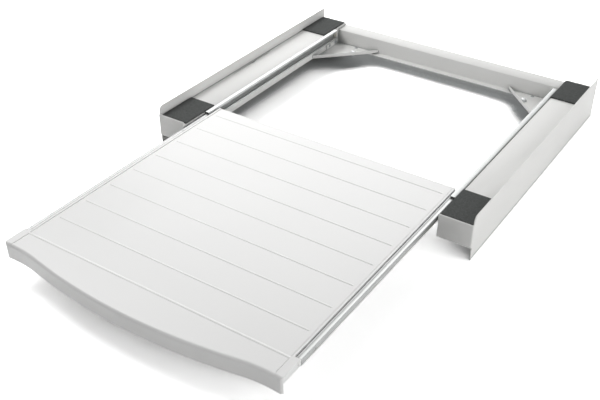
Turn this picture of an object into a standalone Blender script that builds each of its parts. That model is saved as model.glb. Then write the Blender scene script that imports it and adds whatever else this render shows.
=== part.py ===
"""Stacking frame with a pull-out shelf, for standing a dryer on a washing machine.

All lengths are in metres, +Z is up and +Y points to the back of the frame.  Inside this
script y = 0 is the front edge of the frame and z = 0 is the bottom edge of its side plates.
A parent empty then moves everything so that the origin is the middle of the footprint with
the shelf pulled out, which is the pose that is modelled.
"""

import math

import bmesh
import bpy
from mathutils import Matrix, Vector

# Frame: overall sizes
OUTER_WIDTH = 0.604
DEPTH = 0.540
PLATE_HEIGHT = 0.0785
PLATE_SHEET = 0.0015
PLATE_CORNER = 0.009
FRAME_SHEET = 0.0012
FOLD = 0.0014
GAP = 0.0003
OVERRUN = 0.004

# Side channels that carry the pads, closed in front by a tab folded from the side plate
CHANNEL_DROP = 0.0235
CHANNEL_HEIGHT = 0.0356
CHANNEL_WIDTH = 0.0549
WELD_FLANGE = 0.009
TAB_RISE = 0.0057
STRAP_SLOT_LENGTH = 0.116
STRAP_SLOT_WIDTH = 0.0022
STRAP_NOTCH_LENGTH = 0.008
STRAP_NOTCH_WIDTH = 0.0046

# Rear cross member, a Z section
CROSS_FLANGE = 0.032
CROSS_STEP_DOWN = 0.0045
CROSS_TOE = 0.0125

# Corner gussets between the cross member and the channels
GUSSET_REACH = 0.0985
GUSSET_LIP = 0.007
GUSSET_TAB_HEIGHT = 0.009
RIVET_HEAD_RADIUS = 0.0032
RIVET_HEAD_HEIGHT = 0.0012
RIVET_RADIUS = 0.0016
RIVET_TAIL = 0.0016
RIVET_HOLE_PLAY = 0.0004
CLAMP_SCREW_ROOM = 0.0003
CLAMP_HEAD_RADIUS = 0.0050
CLAMP_HEAD_HEIGHT = 0.0042
CLAMP_WASHER_RADIUS = 0.0062
CLAMP_WASHER_HEIGHT = 0.0011
CLAMP_SHANK_RADIUS = 0.0028
CLAMP_SHANK_LENGTH = 0.0055

# Foam pads
PAD_WIDTH = 0.0532
PAD_LENGTH = 0.079
PAD_THICKNESS = 0.0025
PAD_EDGE = 0.0004
PAD_FRONT_INSET = 0.007
PAD_REAR_INSET = 0.008

# Telescopic slides: a fixed outer member, a ball cage and a moving inner member
SLIDE_SHEET = 0.001
SLIDE_FOLD = 0.0008
SLIDE_HEIGHT = 0.017
SLIDE_WIDTH = 0.0092
SLIDE_RISE = 0.0015
SLIDE_LIP = 0.003
SLIDE_START = 0.059
SLIDE_RUNNER_HEIGHT = 0.010
SLIDE_RUNNER_WIDTH = 0.0084
SLIDE_RACE_DEPTH = 0.0004
RUNNING_GAP = 0.0005
BUFFER_LENGTH = 0.0025
BUFFER_EDGE = 0.0005
CAGE_SHEET = 0.00045
CAGE_FLANGE = 0.0062
CAGE_LENGTH = 0.0245
BALLS_PER_ROW = 3
BALL_PITCH = 0.008
BALL_INSET = 0.0015
SCREW_HEAD_RADIUS = 0.0028
SCREW_HEAD_EDGE = 0.0001
SCREW_SUNK = 0.0001
SCREW_SHANK_RADIUS = 0.0016
SCREW_LENGTH = 0.0065

# Shelf: a moulded tray with a bowed front
TRAY_OVERLAP = 0.0858
TRAY_REAR_GAP = 0.0211
TRAY_SIDE_GAP = 0.00165
TRAY_FRONT_SIDE_GAP = 0.0033
TRAY_FRONT_DEPTH = 0.0401
TRAY_TOP = 0.0583
TRAY_SKIN = 0.0026
TRAY_WALL = 0.0022
TRAY_SKIRT = 0.0092
LIP_HEIGHT = 0.0258
LIP_SHEET = 0.0025
BOW_DEPTH = 0.0211
BOW_SIDE = 0.022
BOW_BLEND = 0.215
FRONT_ROUND = 0.0045
FRONT_CORNER = 0.005
REAR_CORNER = 0.002
RIM_HEIGHT = 0.0009
RIM_WIDTH = 0.003
RIB_FRONT_OFFSET = 0.0359
RIB_COUNT = 8
RIB_REAR_MARGIN = 0.0246
RIB_END_MARGIN = 0.0073
RIB_WIDTH = 0.0034
RIB_HEIGHT = 0.0006
RIB_CROSS_HEIGHT = 0.0013
POCKET_COLUMNS = 3
POCKET_ROWS = 4
POCKET_RIB = 0.002
BOSS_LENGTH = 0.012

# Places on a gusset and along the slides, as shares of the length of the piece that is fixed
GUSSET_TAB_SHARE = 0.46
CLAMP_SCREW_SHARE = 0.65
SLIDE_SCREW_SHARES = (0.06, 0.50, 0.94)
RUNNER_SCREW_SHARES = (0.07, 0.50, 0.93)

# Levels and planes that follow from the sizes above
HALF_WIDTH = OUTER_WIDTH / 2
PLATE_INNER = HALF_WIDTH - PLATE_SHEET
CHANNEL_TOP = CHANNEL_DROP + CHANNEL_HEIGHT
CHANNEL_OUTER = PLATE_INNER - GAP
CHANNEL_INNER = CHANNEL_OUTER - CHANNEL_WIDTH
TAB_TOP = CHANNEL_TOP + TAB_RISE
CROSS_TOP = CHANNEL_TOP - CROSS_STEP_DOWN
CROSS_WEB = DEPTH - CROSS_FLANGE
SLIDE_BACK = CHANNEL_INNER - GAP
SLIDE_TOP = CHANNEL_TOP + SLIDE_RISE
SLIDE_MIDDLE = SLIDE_TOP - SLIDE_HEIGHT / 2
TRAY_LENGTH = CROSS_WEB - TRAY_REAR_GAP
TRAVEL = TRAY_LENGTH - TRAY_OVERLAP
TRAY_REAR = TRAY_OVERLAP
RIB_PITCH = (TRAY_LENGTH - RIB_FRONT_OFFSET - RIB_REAR_MARGIN) / RIB_COUNT
TRAY_BOTTOM = TRAY_TOP - TRAY_SKIRT
LIP_BOTTOM = TRAY_TOP - LIP_HEIGHT
STEP_Y = TRAY_FRONT_DEPTH - TRAVEL
RUNNER_OUTER = SLIDE_BACK - SLIDE_SHEET - RUNNING_GAP - CAGE_SHEET - RUNNING_GAP
RUNNER_INNER = RUNNER_OUTER - SLIDE_RUNNER_WIDTH
TRAY_WIDTH = 2 * (RUNNER_INNER - TRAY_SIDE_GAP)
TRAY_FRONT_WIDTH = 2 * (CHANNEL_INNER - TRAY_FRONT_SIDE_GAP)
FRONT_HALF = TRAY_FRONT_WIDTH / 2
RIM_INNER = TRAY_WIDTH / 2 - RIM_WIDTH
RIM_TOP = TRAY_TOP + RIM_HEIGHT
BOW_HALF = FRONT_HALF - BOW_SIDE
BOW_DIP = BOW_BLEND - math.sqrt(BOW_BLEND ** 2 - (BOW_SIDE - FRONT_CORNER) ** 2)
BOW_RADIUS = (BOW_HALF ** 2 + BOW_DEPTH ** 2) / (2 * BOW_DEPTH) - BOW_BLEND
RIB_HALF_LENGTH = TRAY_WIDTH / 2 - RIM_WIDTH - RIB_END_MARGIN
RUNNER_START = STEP_Y + GAP
RUNNER_END = TRAY_REAR
SLIDE_END = RUNNER_END + TRAVEL + 2 * GAP + BUFFER_LENGTH
CAGE_START = SLIDE_START + BUFFER_LENGTH
GUSSET_LEVEL = CHANNEL_DROP + FRAME_SHEET + GAP
GUSSET_WALL = CHANNEL_INNER - GAP - FRAME_SHEET / 2
GUSSET_BACK = CROSS_WEB - FOLD
GUSSET_TAB_LENGTH = GUSSET_TAB_SHARE * GUSSET_REACH
CENTRE_Y = (DEPTH - TRAVEL - BOW_DEPTH + BOW_DIP) / 2


def clear_scene():
    """Remove every object of the open scene."""
    for old in list(bpy.data.objects):
        bpy.data.objects.remove(old, do_unlink=True)


def make_collection(name):
    """Add a collection to the scene."""
    collection = bpy.data.collections.new(name)
    bpy.context.scene.collection.children.link(collection)
    return collection


def make_material(name, colour, roughness, metallic):
    """Make a Principled material with the colour of the real surface."""
    material = bpy.data.materials.new(name)
    material.use_nodes = True
    shader = material.node_tree.nodes["Principled BSDF"]
    shader.inputs["Base Color"].default_value = (*colour, 1.0)
    shader.inputs["Roughness"].default_value = roughness
    shader.inputs["Metallic"].default_value = metallic
    return material


clear_scene()
PARTS = make_collection("stacking_frame")
CUTTERS = make_collection("cutters")
MIDDLE = bpy.data.objects.new("footprint_middle", None)
MIDDLE.location = (0, -CENTRE_Y, 0)
PARTS.objects.link(MIDDLE)

WHITE_PAINT = make_material("white_powder_coat", (0.83, 0.83, 0.82), 0.45, 0.0)
TRAY_PLASTIC = make_material("white_moulded_plastic", (0.86, 0.87, 0.87), 0.35, 0.0)
FOAM = make_material("charcoal_foam", (0.075, 0.078, 0.078), 0.95, 0.0)
ZINC = make_material("zinc_plated_steel", (0.62, 0.63, 0.64), 0.35, 1.0)
BEARING_STEEL = make_material("bearing_steel", (0.50, 0.50, 0.51), 0.30, 1.0)
PALE_NYLON = make_material("pale_nylon", (0.62, 0.61, 0.58), 0.50, 0.0)


def add_part(name, shape, material):
    """Turn a bmesh into a named piece of the product."""
    mesh = bpy.data.meshes.new(name)
    shape.to_mesh(mesh)
    shape.free()
    part = bpy.data.objects.new(name, mesh)
    part.data.materials.append(material)
    PARTS.objects.link(part)
    part.parent = MIDDLE
    return part


def add_cutter(name, shape):
    """Turn a bmesh into a hidden shape for a Boolean."""
    mesh = bpy.data.meshes.new(name)
    shape.to_mesh(mesh)
    shape.free()
    cutter = bpy.data.objects.new(name, mesh)
    cutter.hide_render = True
    cutter.display_type = "WIRE"
    CUTTERS.objects.link(cutter)
    cutter.parent = MIDDLE
    return cutter


def combine(part, other, operation):
    """Cut a shape out of a piece, or join it on."""
    step = part.modifiers.new(operation.lower(), "BOOLEAN")
    step.operation = operation
    step.solver = "EXACT"
    step.object = other


def set_origin(part, point):
    """Move a piece's origin to a point, with its shape left in place."""
    part.data.transform(Matrix.Translation(-Vector(point)))
    part.location = point


def add_box(shape, low, high):
    """Add a closed box between two corners to a bmesh."""
    size = [b - a for a, b in zip(low, high)]
    centre = [(a + b) / 2 for a, b in zip(low, high)]
    place = Matrix.Translation(centre) @ Matrix.Diagonal((*size, 1))
    return bmesh.ops.create_cube(shape, size=1, matrix=place)["verts"]


def add_prism(shape, outline, low, high):
    """Add a closed prism over a plan outline, from one level to another."""
    floor = [shape.verts.new((x, y, low)) for x, y in outline]
    face = shape.faces.new(floor)
    lifted = bmesh.ops.extrude_face_region(shape, geom=[face])["geom"]
    top = [item for item in lifted if isinstance(item, bmesh.types.BMVert)]
    bmesh.ops.translate(shape, verts=top, vec=(0, 0, high - low))
    bmesh.ops.recalc_face_normals(shape, faces=shape.faces)
    return floor, top


def arc(centre, radius, start, end, steps):
    """Points of an arc between two angles in degrees, both ends included."""
    points = []
    for step in range(steps + 1):
        angle = math.radians(start + (end - start) * step / steps)
        points.append((centre[0] + radius * math.cos(angle), centre[1] + radius * math.sin(angle)))
    return points


def mirrored(box_low, box_high, side):
    """Corners of a box on one side of the frame, side being 1 for right and -1 for left."""
    low_x, high_x = sorted((side * box_low[0], side * box_high[0]))
    return (low_x, *box_low[1:]), (high_x, *box_high[1:])


def folded_sheet(name, section, run, material, thickness, fold, place):
    """Fold a flat sheet along a section and give it its thickness.

    section is the line of the middle of the sheet, run its two ends along the fold, and
    place turns a section point and a run value into x, y, z.
    """
    shape = bmesh.new()
    rows = [[shape.verts.new(place(point, value)) for point in section] for value in run]
    for index in range(len(section) - 1):
        shape.faces.new((rows[0][index], rows[0][index + 1], rows[1][index + 1], rows[1][index]))
    part = add_part(name, shape, material)
    finish_sheet(part, thickness, fold)
    return part


def finish_sheet(part, thickness, fold):
    """Round the folds of an open surface and thicken it about its middle."""
    bend = part.modifiers.new("folds", "BEVEL")
    bend.width = fold
    bend.segments = 2
    bend.limit_method = "ANGLE"
    bend.use_clamp_overlap = False
    wall = part.modifiers.new("sheet", "SOLIDIFY")
    wall.thickness = thickness
    wall.offset = 0
    wall.use_even_offset = True


def turned(name, profile, material, steps=12):
    """Turn a profile of (radius, height) points, top to bottom, about its axis."""
    shape = bmesh.new()
    points = [shape.verts.new((radius, 0, height)) for radius, height in profile]
    for index in range(len(points) - 1):
        shape.edges.new((points[index], points[index + 1]))
    part = add_part(name, shape, material)
    spin = part.modifiers.new("turn", "SCREW")
    spin.steps = steps
    spin.render_steps = steps
    spin.use_merge_vertices = True
    spin.merge_threshold = GAP / 30
    spin.use_smooth_shade = True
    return part


def side_name(side):
    """Name of a side of the frame, as seen from its front."""
    return "right" if side > 0 else "left"


def plate_outline_cutters(side):
    """Cutters that leave the front tab of a side plate and round the plate's upper corner."""
    shape = bmesh.new()
    relief = PLATE_SHEET + FOLD
    reach = HALF_WIDTH + OVERRUN
    inner = CHANNEL_INNER - OVERRUN
    low, high = mirrored((inner, -OVERRUN, -OVERRUN), (reach, relief, CHANNEL_DROP), side)
    add_box(shape, low, high)
    low, high = mirrored((inner, -OVERRUN, TAB_TOP), (reach, relief, PLATE_HEIGHT + OVERRUN), side)
    add_box(shape, low, high)
    return add_cutter("plate_front_cut_" + side_name(side), shape)


def plate_corner_cutter(side):
    """Cutter for the round upper front corner of a side plate."""
    shape = bmesh.new()
    front = PLATE_SHEET + FOLD
    centre = (front + PLATE_CORNER, PLATE_HEIGHT - PLATE_CORNER)
    outline = arc(centre, PLATE_CORNER, 90, 180, 6)
    outline += [(front - OVERRUN, outline[-1][1]), (front - OVERRUN, PLATE_HEIGHT + OVERRUN)]
    outline.append((outline[0][0], PLATE_HEIGHT + OVERRUN))
    inner = side * (PLATE_INNER - OVERRUN)
    outer = side * (HALF_WIDTH + OVERRUN)
    near = [shape.verts.new((inner, y, z)) for y, z in outline]
    shape.faces.new(near)
    moved = bmesh.ops.extrude_face_region(shape, geom=list(shape.faces))["geom"]
    far = [item for item in moved if isinstance(item, bmesh.types.BMVert)]
    bmesh.ops.translate(shape, verts=far, vec=(outer - inner, 0, 0))
    bmesh.ops.recalc_face_normals(shape, faces=shape.faces)
    return add_cutter("plate_corner_cut_" + side_name(side), shape)


def side_plate(side):
    """Outer side plate, with the tab folded inward that closes the channel in front."""
    middle = HALF_WIDTH - PLATE_SHEET / 2
    front = PLATE_SHEET / 2
    section = [(middle, DEPTH), (middle, front), (CHANNEL_INNER, front)]
    plate = folded_sheet("side_plate_" + side_name(side), section, (0, PLATE_HEIGHT), WHITE_PAINT,
                         PLATE_SHEET, FOLD, lambda p, z: (side * p[0], p[1], z))
    combine(plate, plate_outline_cutters(side), "DIFFERENCE")
    combine(plate, plate_corner_cutter(side), "DIFFERENCE")
    return plate


def add_hole(shape, start, end, radius):
    """Add a closed cylinder between two points to a bmesh."""
    start, end = Vector(start), Vector(end)
    along = end - start
    place = Matrix.Translation((start + end) / 2) @ along.to_track_quat("Z", "Y").to_matrix().to_4x4()
    bmesh.ops.create_cone(shape, cap_ends=True, segments=12, radius1=radius, radius2=radius,
                          depth=along.length, matrix=place)


def add_sunk_hole(shape, face, outward, y):
    """Add the cone of a sunk screw head: face is the x of the sheet's face that the head lies in."""
    wide = SCREW_HEAD_RADIUS + SCREW_SUNK + SCREW_HEAD_EDGE + GAP
    narrow = SCREW_SHANK_RADIUS + GAP
    depth = wide - narrow
    middle = (face + outward * (OVERRUN - depth) / 2, y, SLIDE_MIDDLE)
    turn = Vector((outward, 0, 0)).to_track_quat("Z", "Y").to_matrix().to_4x4()
    bmesh.ops.create_cone(shape, cap_ends=True, segments=12, radius1=narrow, radius2=wide + OVERRUN,
                          depth=depth + OVERRUN, matrix=Matrix.Translation(middle) @ turn)


def slide_screw_places():
    """Places along y of the screws that hold a fixed slide member to its channel."""
    return [SLIDE_START + share * (SLIDE_END - SLIDE_START) for share in SLIDE_SCREW_SHARES]


def gusset_rivet_places():
    """Places along y of the rivets that hold a gusset's tab to its channel."""
    start = GUSSET_BACK - GUSSET_TAB_LENGTH
    return [start + GUSSET_TAB_LENGTH / 4, start + 3 * GUSSET_TAB_LENGTH / 4]


def gusset_rivet_level():
    """Height of those rivets, in the middle of the tab."""
    return GUSSET_LEVEL + FRAME_SHEET + GUSSET_TAB_HEIGHT / 2


def channel_holes(side):
    """Holes in a channel's inner wall for the slide's screws and the gusset's rivets."""
    shape = bmesh.new()
    for y in slide_screw_places():
        add_hole(shape, (side * (CHANNEL_INNER - OVERRUN), y, SLIDE_MIDDLE),
                 (side * (CHANNEL_INNER + OVERRUN), y, SLIDE_MIDDLE), SCREW_SHANK_RADIUS + GAP)
    for y in gusset_rivet_places():
        level = gusset_rivet_level()
        add_hole(shape, (side * (CHANNEL_INNER - OVERRUN), y, level),
                 (side * (CHANNEL_INNER + OVERRUN), y, level), RIVET_RADIUS + RIVET_HOLE_PLAY)
    return add_cutter("channel_holes_" + side_name(side), shape)


def strap_slot_outline():
    """Plan outline of the slot beside the side plate, with a notch in the middle of its length."""
    outer = CHANNEL_OUTER - FRAME_SHEET - FOLD
    inner = outer - STRAP_SLOT_WIDTH
    notch = outer - STRAP_NOTCH_WIDTH
    half = STRAP_SLOT_LENGTH / 2
    step = STRAP_NOTCH_LENGTH / 2
    middle = DEPTH / 2
    return [(outer, middle - half), (outer, middle + half), (inner, middle + half),
            (inner, middle + step), (notch, middle + step), (notch, middle - step),
            (inner, middle - step), (inner, middle - half)]


def side_channel(side):
    """Channel folded from sheet that carries the pads, open towards the side plate."""
    outer = CHANNEL_OUTER - FRAME_SHEET / 2
    inner = CHANNEL_INNER + FRAME_SHEET / 2
    top = CHANNEL_TOP - FRAME_SHEET / 2
    bottom = CHANNEL_DROP + FRAME_SHEET / 2
    section = [(outer, top - WELD_FLANGE), (outer, top), (inner, top), (inner, bottom),
               (outer, bottom), (outer, bottom + WELD_FLANGE)]
    channel = folded_sheet("side_channel_" + side_name(side), section, (PLATE_SHEET + GAP, DEPTH),
                           WHITE_PAINT, FRAME_SHEET, FOLD, lambda p, y: (side * p[0], y, p[1]))
    combine(channel, channel_holes(side), "DIFFERENCE")
    slot = bmesh.new()
    add_prism(slot, [(side * x, y) for x, y in strap_slot_outline()],
              CHANNEL_TOP - OVERRUN, CHANNEL_TOP + OVERRUN)
    combine(channel, add_cutter("strap_slot_" + side_name(side), slot), "DIFFERENCE")
    return channel


def toe_rivet_place(side):
    """Place of the rivet that holds a gusset to the cross member's toe."""
    return side * (CHANNEL_INNER - GUSSET_REACH / 2), CROSS_WEB - CROSS_TOE / 2


def cross_member():
    """Z section between the channels at the back: top flange, web and toe."""
    end = CHANNEL_INNER - GAP
    half = FRAME_SHEET / 2
    section = [(DEPTH, CROSS_TOP - half), (CROSS_WEB + half, CROSS_TOP - half),
               (CROSS_WEB + half, CHANNEL_DROP + half), (CROSS_WEB - CROSS_TOE, CHANNEL_DROP + half)]
    cross = folded_sheet("rear_cross_member", section, (-end, end), WHITE_PAINT, FRAME_SHEET, FOLD,
                         lambda p, x: (x, p[0], p[1]))
    holes = bmesh.new()
    for side in (-1, 1):
        x, y = toe_rivet_place(side)
        add_hole(holes, (x, y, CHANNEL_DROP - OVERRUN), (x, y, CHANNEL_DROP + OVERRUN),
                 RIVET_RADIUS + RIVET_HOLE_PLAY)
    combine(cross, add_cutter("cross_member_holes", holes), "DIFFERENCE")
    return cross


def clamp_screw_place(side):
    """Place of a gusset's clamp screw, with its washer beside the fold of the slanted lip."""
    room = CLAMP_WASHER_RADIUS + FRAME_SHEET / 2 + FOLD + CLAMP_SCREW_ROOM
    reach = GUSSET_REACH - math.sqrt(2) * room
    along = CLAMP_SCREW_SHARE * reach
    return side * (GUSSET_WALL - along), GUSSET_BACK - (reach - along)


def corner_gusset(side):
    """Three-cornered sheet with a lip along its slanted edge and a tab against the channel."""
    half = FRAME_SHEET / 2
    level = GUSSET_LEVEL + half
    wall = GUSSET_WALL
    back = GUSSET_BACK
    plan = [(wall, back - GUSSET_REACH), (wall, back - GUSSET_TAB_LENGTH), (wall, back - FOLD),
            (wall - FOLD, back), (wall - GUSSET_REACH, back)]
    shape = bmesh.new()
    corners = [shape.verts.new((side * x, y, level)) for x, y in plan]
    shape.faces.new(corners)

    def fold_up(first, last, height):
        foot = [corners[first], corners[last]]
        head = [shape.verts.new(vert.co + Vector((0, 0, height))) for vert in foot]
        shape.faces.new((foot[0], foot[1], head[1], head[0]))

    fold_up(4, 0, GUSSET_LIP)
    fold_up(1, 2, GUSSET_TAB_HEIGHT)
    bmesh.ops.recalc_face_normals(shape, faces=shape.faces)
    gusset = add_part("corner_gusset_" + side_name(side), shape, WHITE_PAINT)
    finish_sheet(gusset, FRAME_SHEET, FOLD)
    holes = bmesh.new()
    x, y = clamp_screw_place(side)
    add_hole(holes, (x, y, level - OVERRUN), (x, y, level + OVERRUN), CLAMP_SHANK_RADIUS + GAP)
    x, y = toe_rivet_place(side)
    add_hole(holes, (x, y, level - OVERRUN), (x, y, level + OVERRUN), RIVET_RADIUS + RIVET_HOLE_PLAY)
    for y in gusset_rivet_places():
        height = gusset_rivet_level()
        add_hole(holes, (side * (wall - OVERRUN), y, height), (side * (wall + OVERRUN), y, height),
                 RIVET_RADIUS + RIVET_HOLE_PLAY)
    combine(gusset, add_cutter("gusset_holes_" + side_name(side), holes), "DIFFERENCE")
    return gusset


def rivet(name, place, direction, grip):
    """Rivet with a low round head, its axis pointing out of the head."""
    shoulder = RIVET_HEAD_HEIGHT / 3
    profile = [(0, RIVET_HEAD_HEIGHT), (RIVET_HEAD_RADIUS / 2, RIVET_HEAD_HEIGHT - shoulder / 3),
               (RIVET_HEAD_RADIUS, shoulder), (RIVET_HEAD_RADIUS, 0), (RIVET_RADIUS, 0),
               (RIVET_RADIUS, -grip), (0, -grip)]
    piece = turned(name, profile, ZINC)
    piece.location = place
    piece.rotation_euler = Vector(direction).to_track_quat("Z", "Y").to_euler()
    return piece


def gusset_rivets(side):
    """Rivets of a gusset: two through its tab and one through the cross member's toe."""
    grip = 2 * FRAME_SHEET + 2 * GAP + RIVET_TAIL
    wall = CHANNEL_INNER - GAP - FRAME_SHEET
    for index, y in enumerate(gusset_rivet_places(), start=1):
        place = (side * (wall - GAP), y, gusset_rivet_level())
        rivet(f"gusset_wall_rivet_{side_name(side)}_{index}", place, (-side, 0, 0), grip)
    x, y = toe_rivet_place(side)
    rivet("gusset_toe_rivet_" + side_name(side), (x, y, GUSSET_LEVEL + FRAME_SHEET + GAP), (0, 0, 1),
          2 * FRAME_SHEET + 2 * GAP)


def clamp_screw(side):
    """Round head screw with its washer, which holds the gusset down on the machine below."""
    x, y = clamp_screw_place(side)
    washer_top = CLAMP_WASHER_HEIGHT
    head_top = washer_top + CLAMP_HEAD_HEIGHT
    crown = CLAMP_HEAD_HEIGHT / 6
    profile = [(0, head_top), (CLAMP_HEAD_RADIUS - crown, head_top), (CLAMP_HEAD_RADIUS, head_top - crown),
               (CLAMP_HEAD_RADIUS, washer_top), (CLAMP_WASHER_RADIUS, washer_top),
               (CLAMP_WASHER_RADIUS, 0), (CLAMP_SHANK_RADIUS, 0), (CLAMP_SHANK_RADIUS, -CLAMP_SHANK_LENGTH),
               (0, -CLAMP_SHANK_LENGTH)]
    piece = turned("clamp_screw_" + side_name(side), profile, ZINC, 18)
    piece.location = (x, y, GUSSET_LEVEL + FRAME_SHEET + GAP)


def pad(name, side, start, low):
    """Foam pad with softened edges."""
    shape = bmesh.new()
    outer = CHANNEL_OUTER - (CHANNEL_WIDTH - PAD_WIDTH)
    box_low, box_high = mirrored((outer - PAD_WIDTH, start, low),
                                 (outer, start + PAD_LENGTH, low + PAD_THICKNESS), side)
    add_box(shape, box_low, box_high)
    piece = add_part(name, shape, FOAM)
    soft = piece.modifiers.new("edges", "BEVEL")
    soft.width = PAD_EDGE
    soft.segments = 1
    return piece


def pads():
    """Four pads on top for the machine above and four below for the machine underneath."""
    rear = DEPTH - PAD_REAR_INSET - PAD_LENGTH
    for side in (-1, 1):
        for end, start in (("front", PAD_FRONT_INSET), ("rear", rear)):
            place = f"{end}_{side_name(side)}"
            pad("top_pad_" + place, side, start, CHANNEL_TOP + GAP)
            pad("bottom_pad_" + place, side, start, CHANNEL_DROP - GAP - PAD_THICKNESS)


def slide_outer(side):
    """Fixed slide member: a channel with turned-in lips, screwed to the side channel."""
    half = SLIDE_SHEET / 2
    web = SLIDE_BACK - half
    mouth = SLIDE_BACK - SLIDE_WIDTH + half
    top = SLIDE_TOP - half
    bottom = SLIDE_TOP - SLIDE_HEIGHT + half
    section = [(mouth, top - SLIDE_LIP + half), (mouth, top), (web, top), (web, bottom),
               (mouth, bottom), (mouth, bottom + SLIDE_LIP - half)]
    slide = folded_sheet("slide_outer_" + side_name(side), section, (SLIDE_START, SLIDE_END), ZINC,
                         SLIDE_SHEET, SLIDE_FOLD, lambda p, y: (side * p[0], y, p[1]))
    holes = bmesh.new()
    for y in slide_screw_places():
        add_sunk_hole(holes, side * (SLIDE_BACK - SLIDE_SHEET), -side, y)
    combine(slide, add_cutter("slide_outer_holes_" + side_name(side), holes), "DIFFERENCE")
    return slide


def runner_screw_places():
    """Places along y of the screws that hold the shelf to a moving slide member."""
    return [RUNNER_START + share * (RUNNER_END - RUNNER_START) for share in RUNNER_SCREW_SHARES]


def slide_runner(side):
    """Moving slide member: a channel closed on its outer side, with ball races above and below."""
    half = SLIDE_SHEET / 2
    web = RUNNER_OUTER - half
    tip = RUNNER_INNER
    third = (web - tip) / 3
    top = SLIDE_MIDDLE + SLIDE_RUNNER_HEIGHT / 2 - half
    race = top - SLIDE_RACE_DEPTH
    upper = [(tip, top), (tip + third, race), (web - third, race), (web, top)]
    section = upper + [(x, 2 * SLIDE_MIDDLE - z) for x, z in reversed(upper)]
    runner = folded_sheet("slide_runner_" + side_name(side), section, (RUNNER_START, RUNNER_END), ZINC,
                          SLIDE_SHEET, SLIDE_FOLD, lambda p, y: (side * p[0], y, p[1]))
    holes = bmesh.new()
    for y in runner_screw_places():
        add_sunk_hole(holes, side * RUNNER_OUTER, side, y)
    combine(runner, add_cutter("slide_runner_holes_" + side_name(side), holes), "DIFFERENCE")
    set_origin(runner, (side * RUNNER_INNER, RUNNER_END, SLIDE_MIDDLE))
    return runner


def ball_cage(side):
    """Cage that carries two rows of balls between the fixed and the moving member."""
    half = CAGE_SHEET / 2
    web = RUNNER_OUTER + RUNNING_GAP + half
    mouth = RUNNER_OUTER + RUNNING_GAP + CAGE_SHEET - CAGE_FLANGE
    race = (SLIDE_HEIGHT / 2 - SLIDE_SHEET + SLIDE_RUNNER_HEIGHT / 2) / 2
    section = [(mouth, SLIDE_MIDDLE + race), (web, SLIDE_MIDDLE + race),
               (web, SLIDE_MIDDLE - race), (mouth, SLIDE_MIDDLE - race)]
    cage = folded_sheet("ball_cage_" + side_name(side), section,
                        (CAGE_START, CAGE_START + CAGE_LENGTH), BEARING_STEEL, CAGE_SHEET,
                        CAGE_SHEET, lambda p, y: (side * p[0], y, p[1]))
    balls = bmesh.new()
    radius = (SLIDE_HEIGHT / 2 - SLIDE_SHEET - SLIDE_RUNNER_HEIGHT / 2) / 2 - GAP
    first = CAGE_START + (CAGE_LENGTH - (BALLS_PER_ROW - 1) * BALL_PITCH) / 2
    for index in range(BALLS_PER_ROW):
        for level in (SLIDE_MIDDLE + race, SLIDE_MIDDLE - race):
            middle = (side * (mouth + BALL_INSET), first + index * BALL_PITCH, level)
            bmesh.ops.create_icosphere(balls, subdivisions=2, radius=radius,
                                       matrix=Matrix.Translation(middle))
    combine(cage, add_cutter("cage_balls_" + side_name(side), balls), "UNION")
    set_origin(cage, (side * web, CAGE_START, SLIDE_MIDDLE))
    return cage


def screw(name, place, direction):
    """Screw with a flat sunk head, its axis pointing out of the head."""
    head = SCREW_HEAD_RADIUS - SCREW_SHANK_RADIUS
    profile = [(0, 0), (SCREW_HEAD_RADIUS, 0), (SCREW_HEAD_RADIUS, -SCREW_HEAD_EDGE),
               (SCREW_SHANK_RADIUS, -SCREW_HEAD_EDGE - head),
               (SCREW_SHANK_RADIUS, -SCREW_LENGTH + SCREW_SHANK_RADIUS), (0, -SCREW_LENGTH)]
    piece = turned(name, profile, ZINC)
    piece.location = place
    piece.rotation_euler = Vector(direction).to_track_quat("Z", "Y").to_euler()


def slide_screws(side):
    """Screws of both members of one slide."""
    name = side_name(side)
    seat = SLIDE_BACK - SLIDE_SHEET + SCREW_SUNK
    for index, y in enumerate(slide_screw_places(), start=1):
        screw(f"slide_screw_{name}_{index}", (side * seat, y, SLIDE_MIDDLE), (-side, 0, 0))
    seat = RUNNER_OUTER - SCREW_SUNK
    for index, y in enumerate(runner_screw_places(), start=1):
        screw(f"shelf_screw_{name}_{index}", (side * seat, y, SLIDE_MIDDLE), (side, 0, 0))


def slide_buffer(side):
    """Nylon buffer in the back end of the fixed member, which the moving member meets."""
    inset = SLIDE_SHEET + GAP
    shape = bmesh.new()
    low, high = mirrored((SLIDE_BACK - SLIDE_WIDTH + inset, SLIDE_END - BUFFER_LENGTH,
                          SLIDE_TOP - SLIDE_HEIGHT + inset),
                         (SLIDE_BACK - inset, SLIDE_END, SLIDE_TOP - inset), side)
    add_box(shape, low, high)
    piece = add_part("slide_buffer_" + side_name(side), shape, PALE_NYLON)
    soft = piece.modifiers.new("edges", "BEVEL")
    soft.width = BUFFER_EDGE
    soft.segments = 1
    return piece


def bow_line(inset, ends):
    """Front line of the shelf from left to right, moved back by an inset.

    A flat arc in the middle is blended by two reverse arcs into the sides.  These pass their
    rearmost points and swing forward again to the ends, given as distances from the middle.
    """
    dip = BOW_DIP - TRAVEL
    turn = math.degrees(math.asin(BOW_HALF / (BOW_RADIUS + BOW_BLEND)))
    middle = arc((0, dip - BOW_DEPTH + BOW_RADIUS), BOW_RADIUS - inset, 270 - turn, 270 + turn, 16)
    right = arc((BOW_HALF, dip - BOW_BLEND), BOW_BLEND + inset, 90 + turn, 90, 4)
    for end in ends:
        past = math.asin((end - BOW_HALF) / BOW_BLEND)
        right.append((BOW_HALF + (BOW_BLEND + inset) * math.sin(past),
                      dip - BOW_BLEND + (BOW_BLEND + inset) * math.cos(past)))
    left = [(-x, y) for x, y in reversed(right)]
    return left[:-1] + middle + right[1:]


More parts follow.
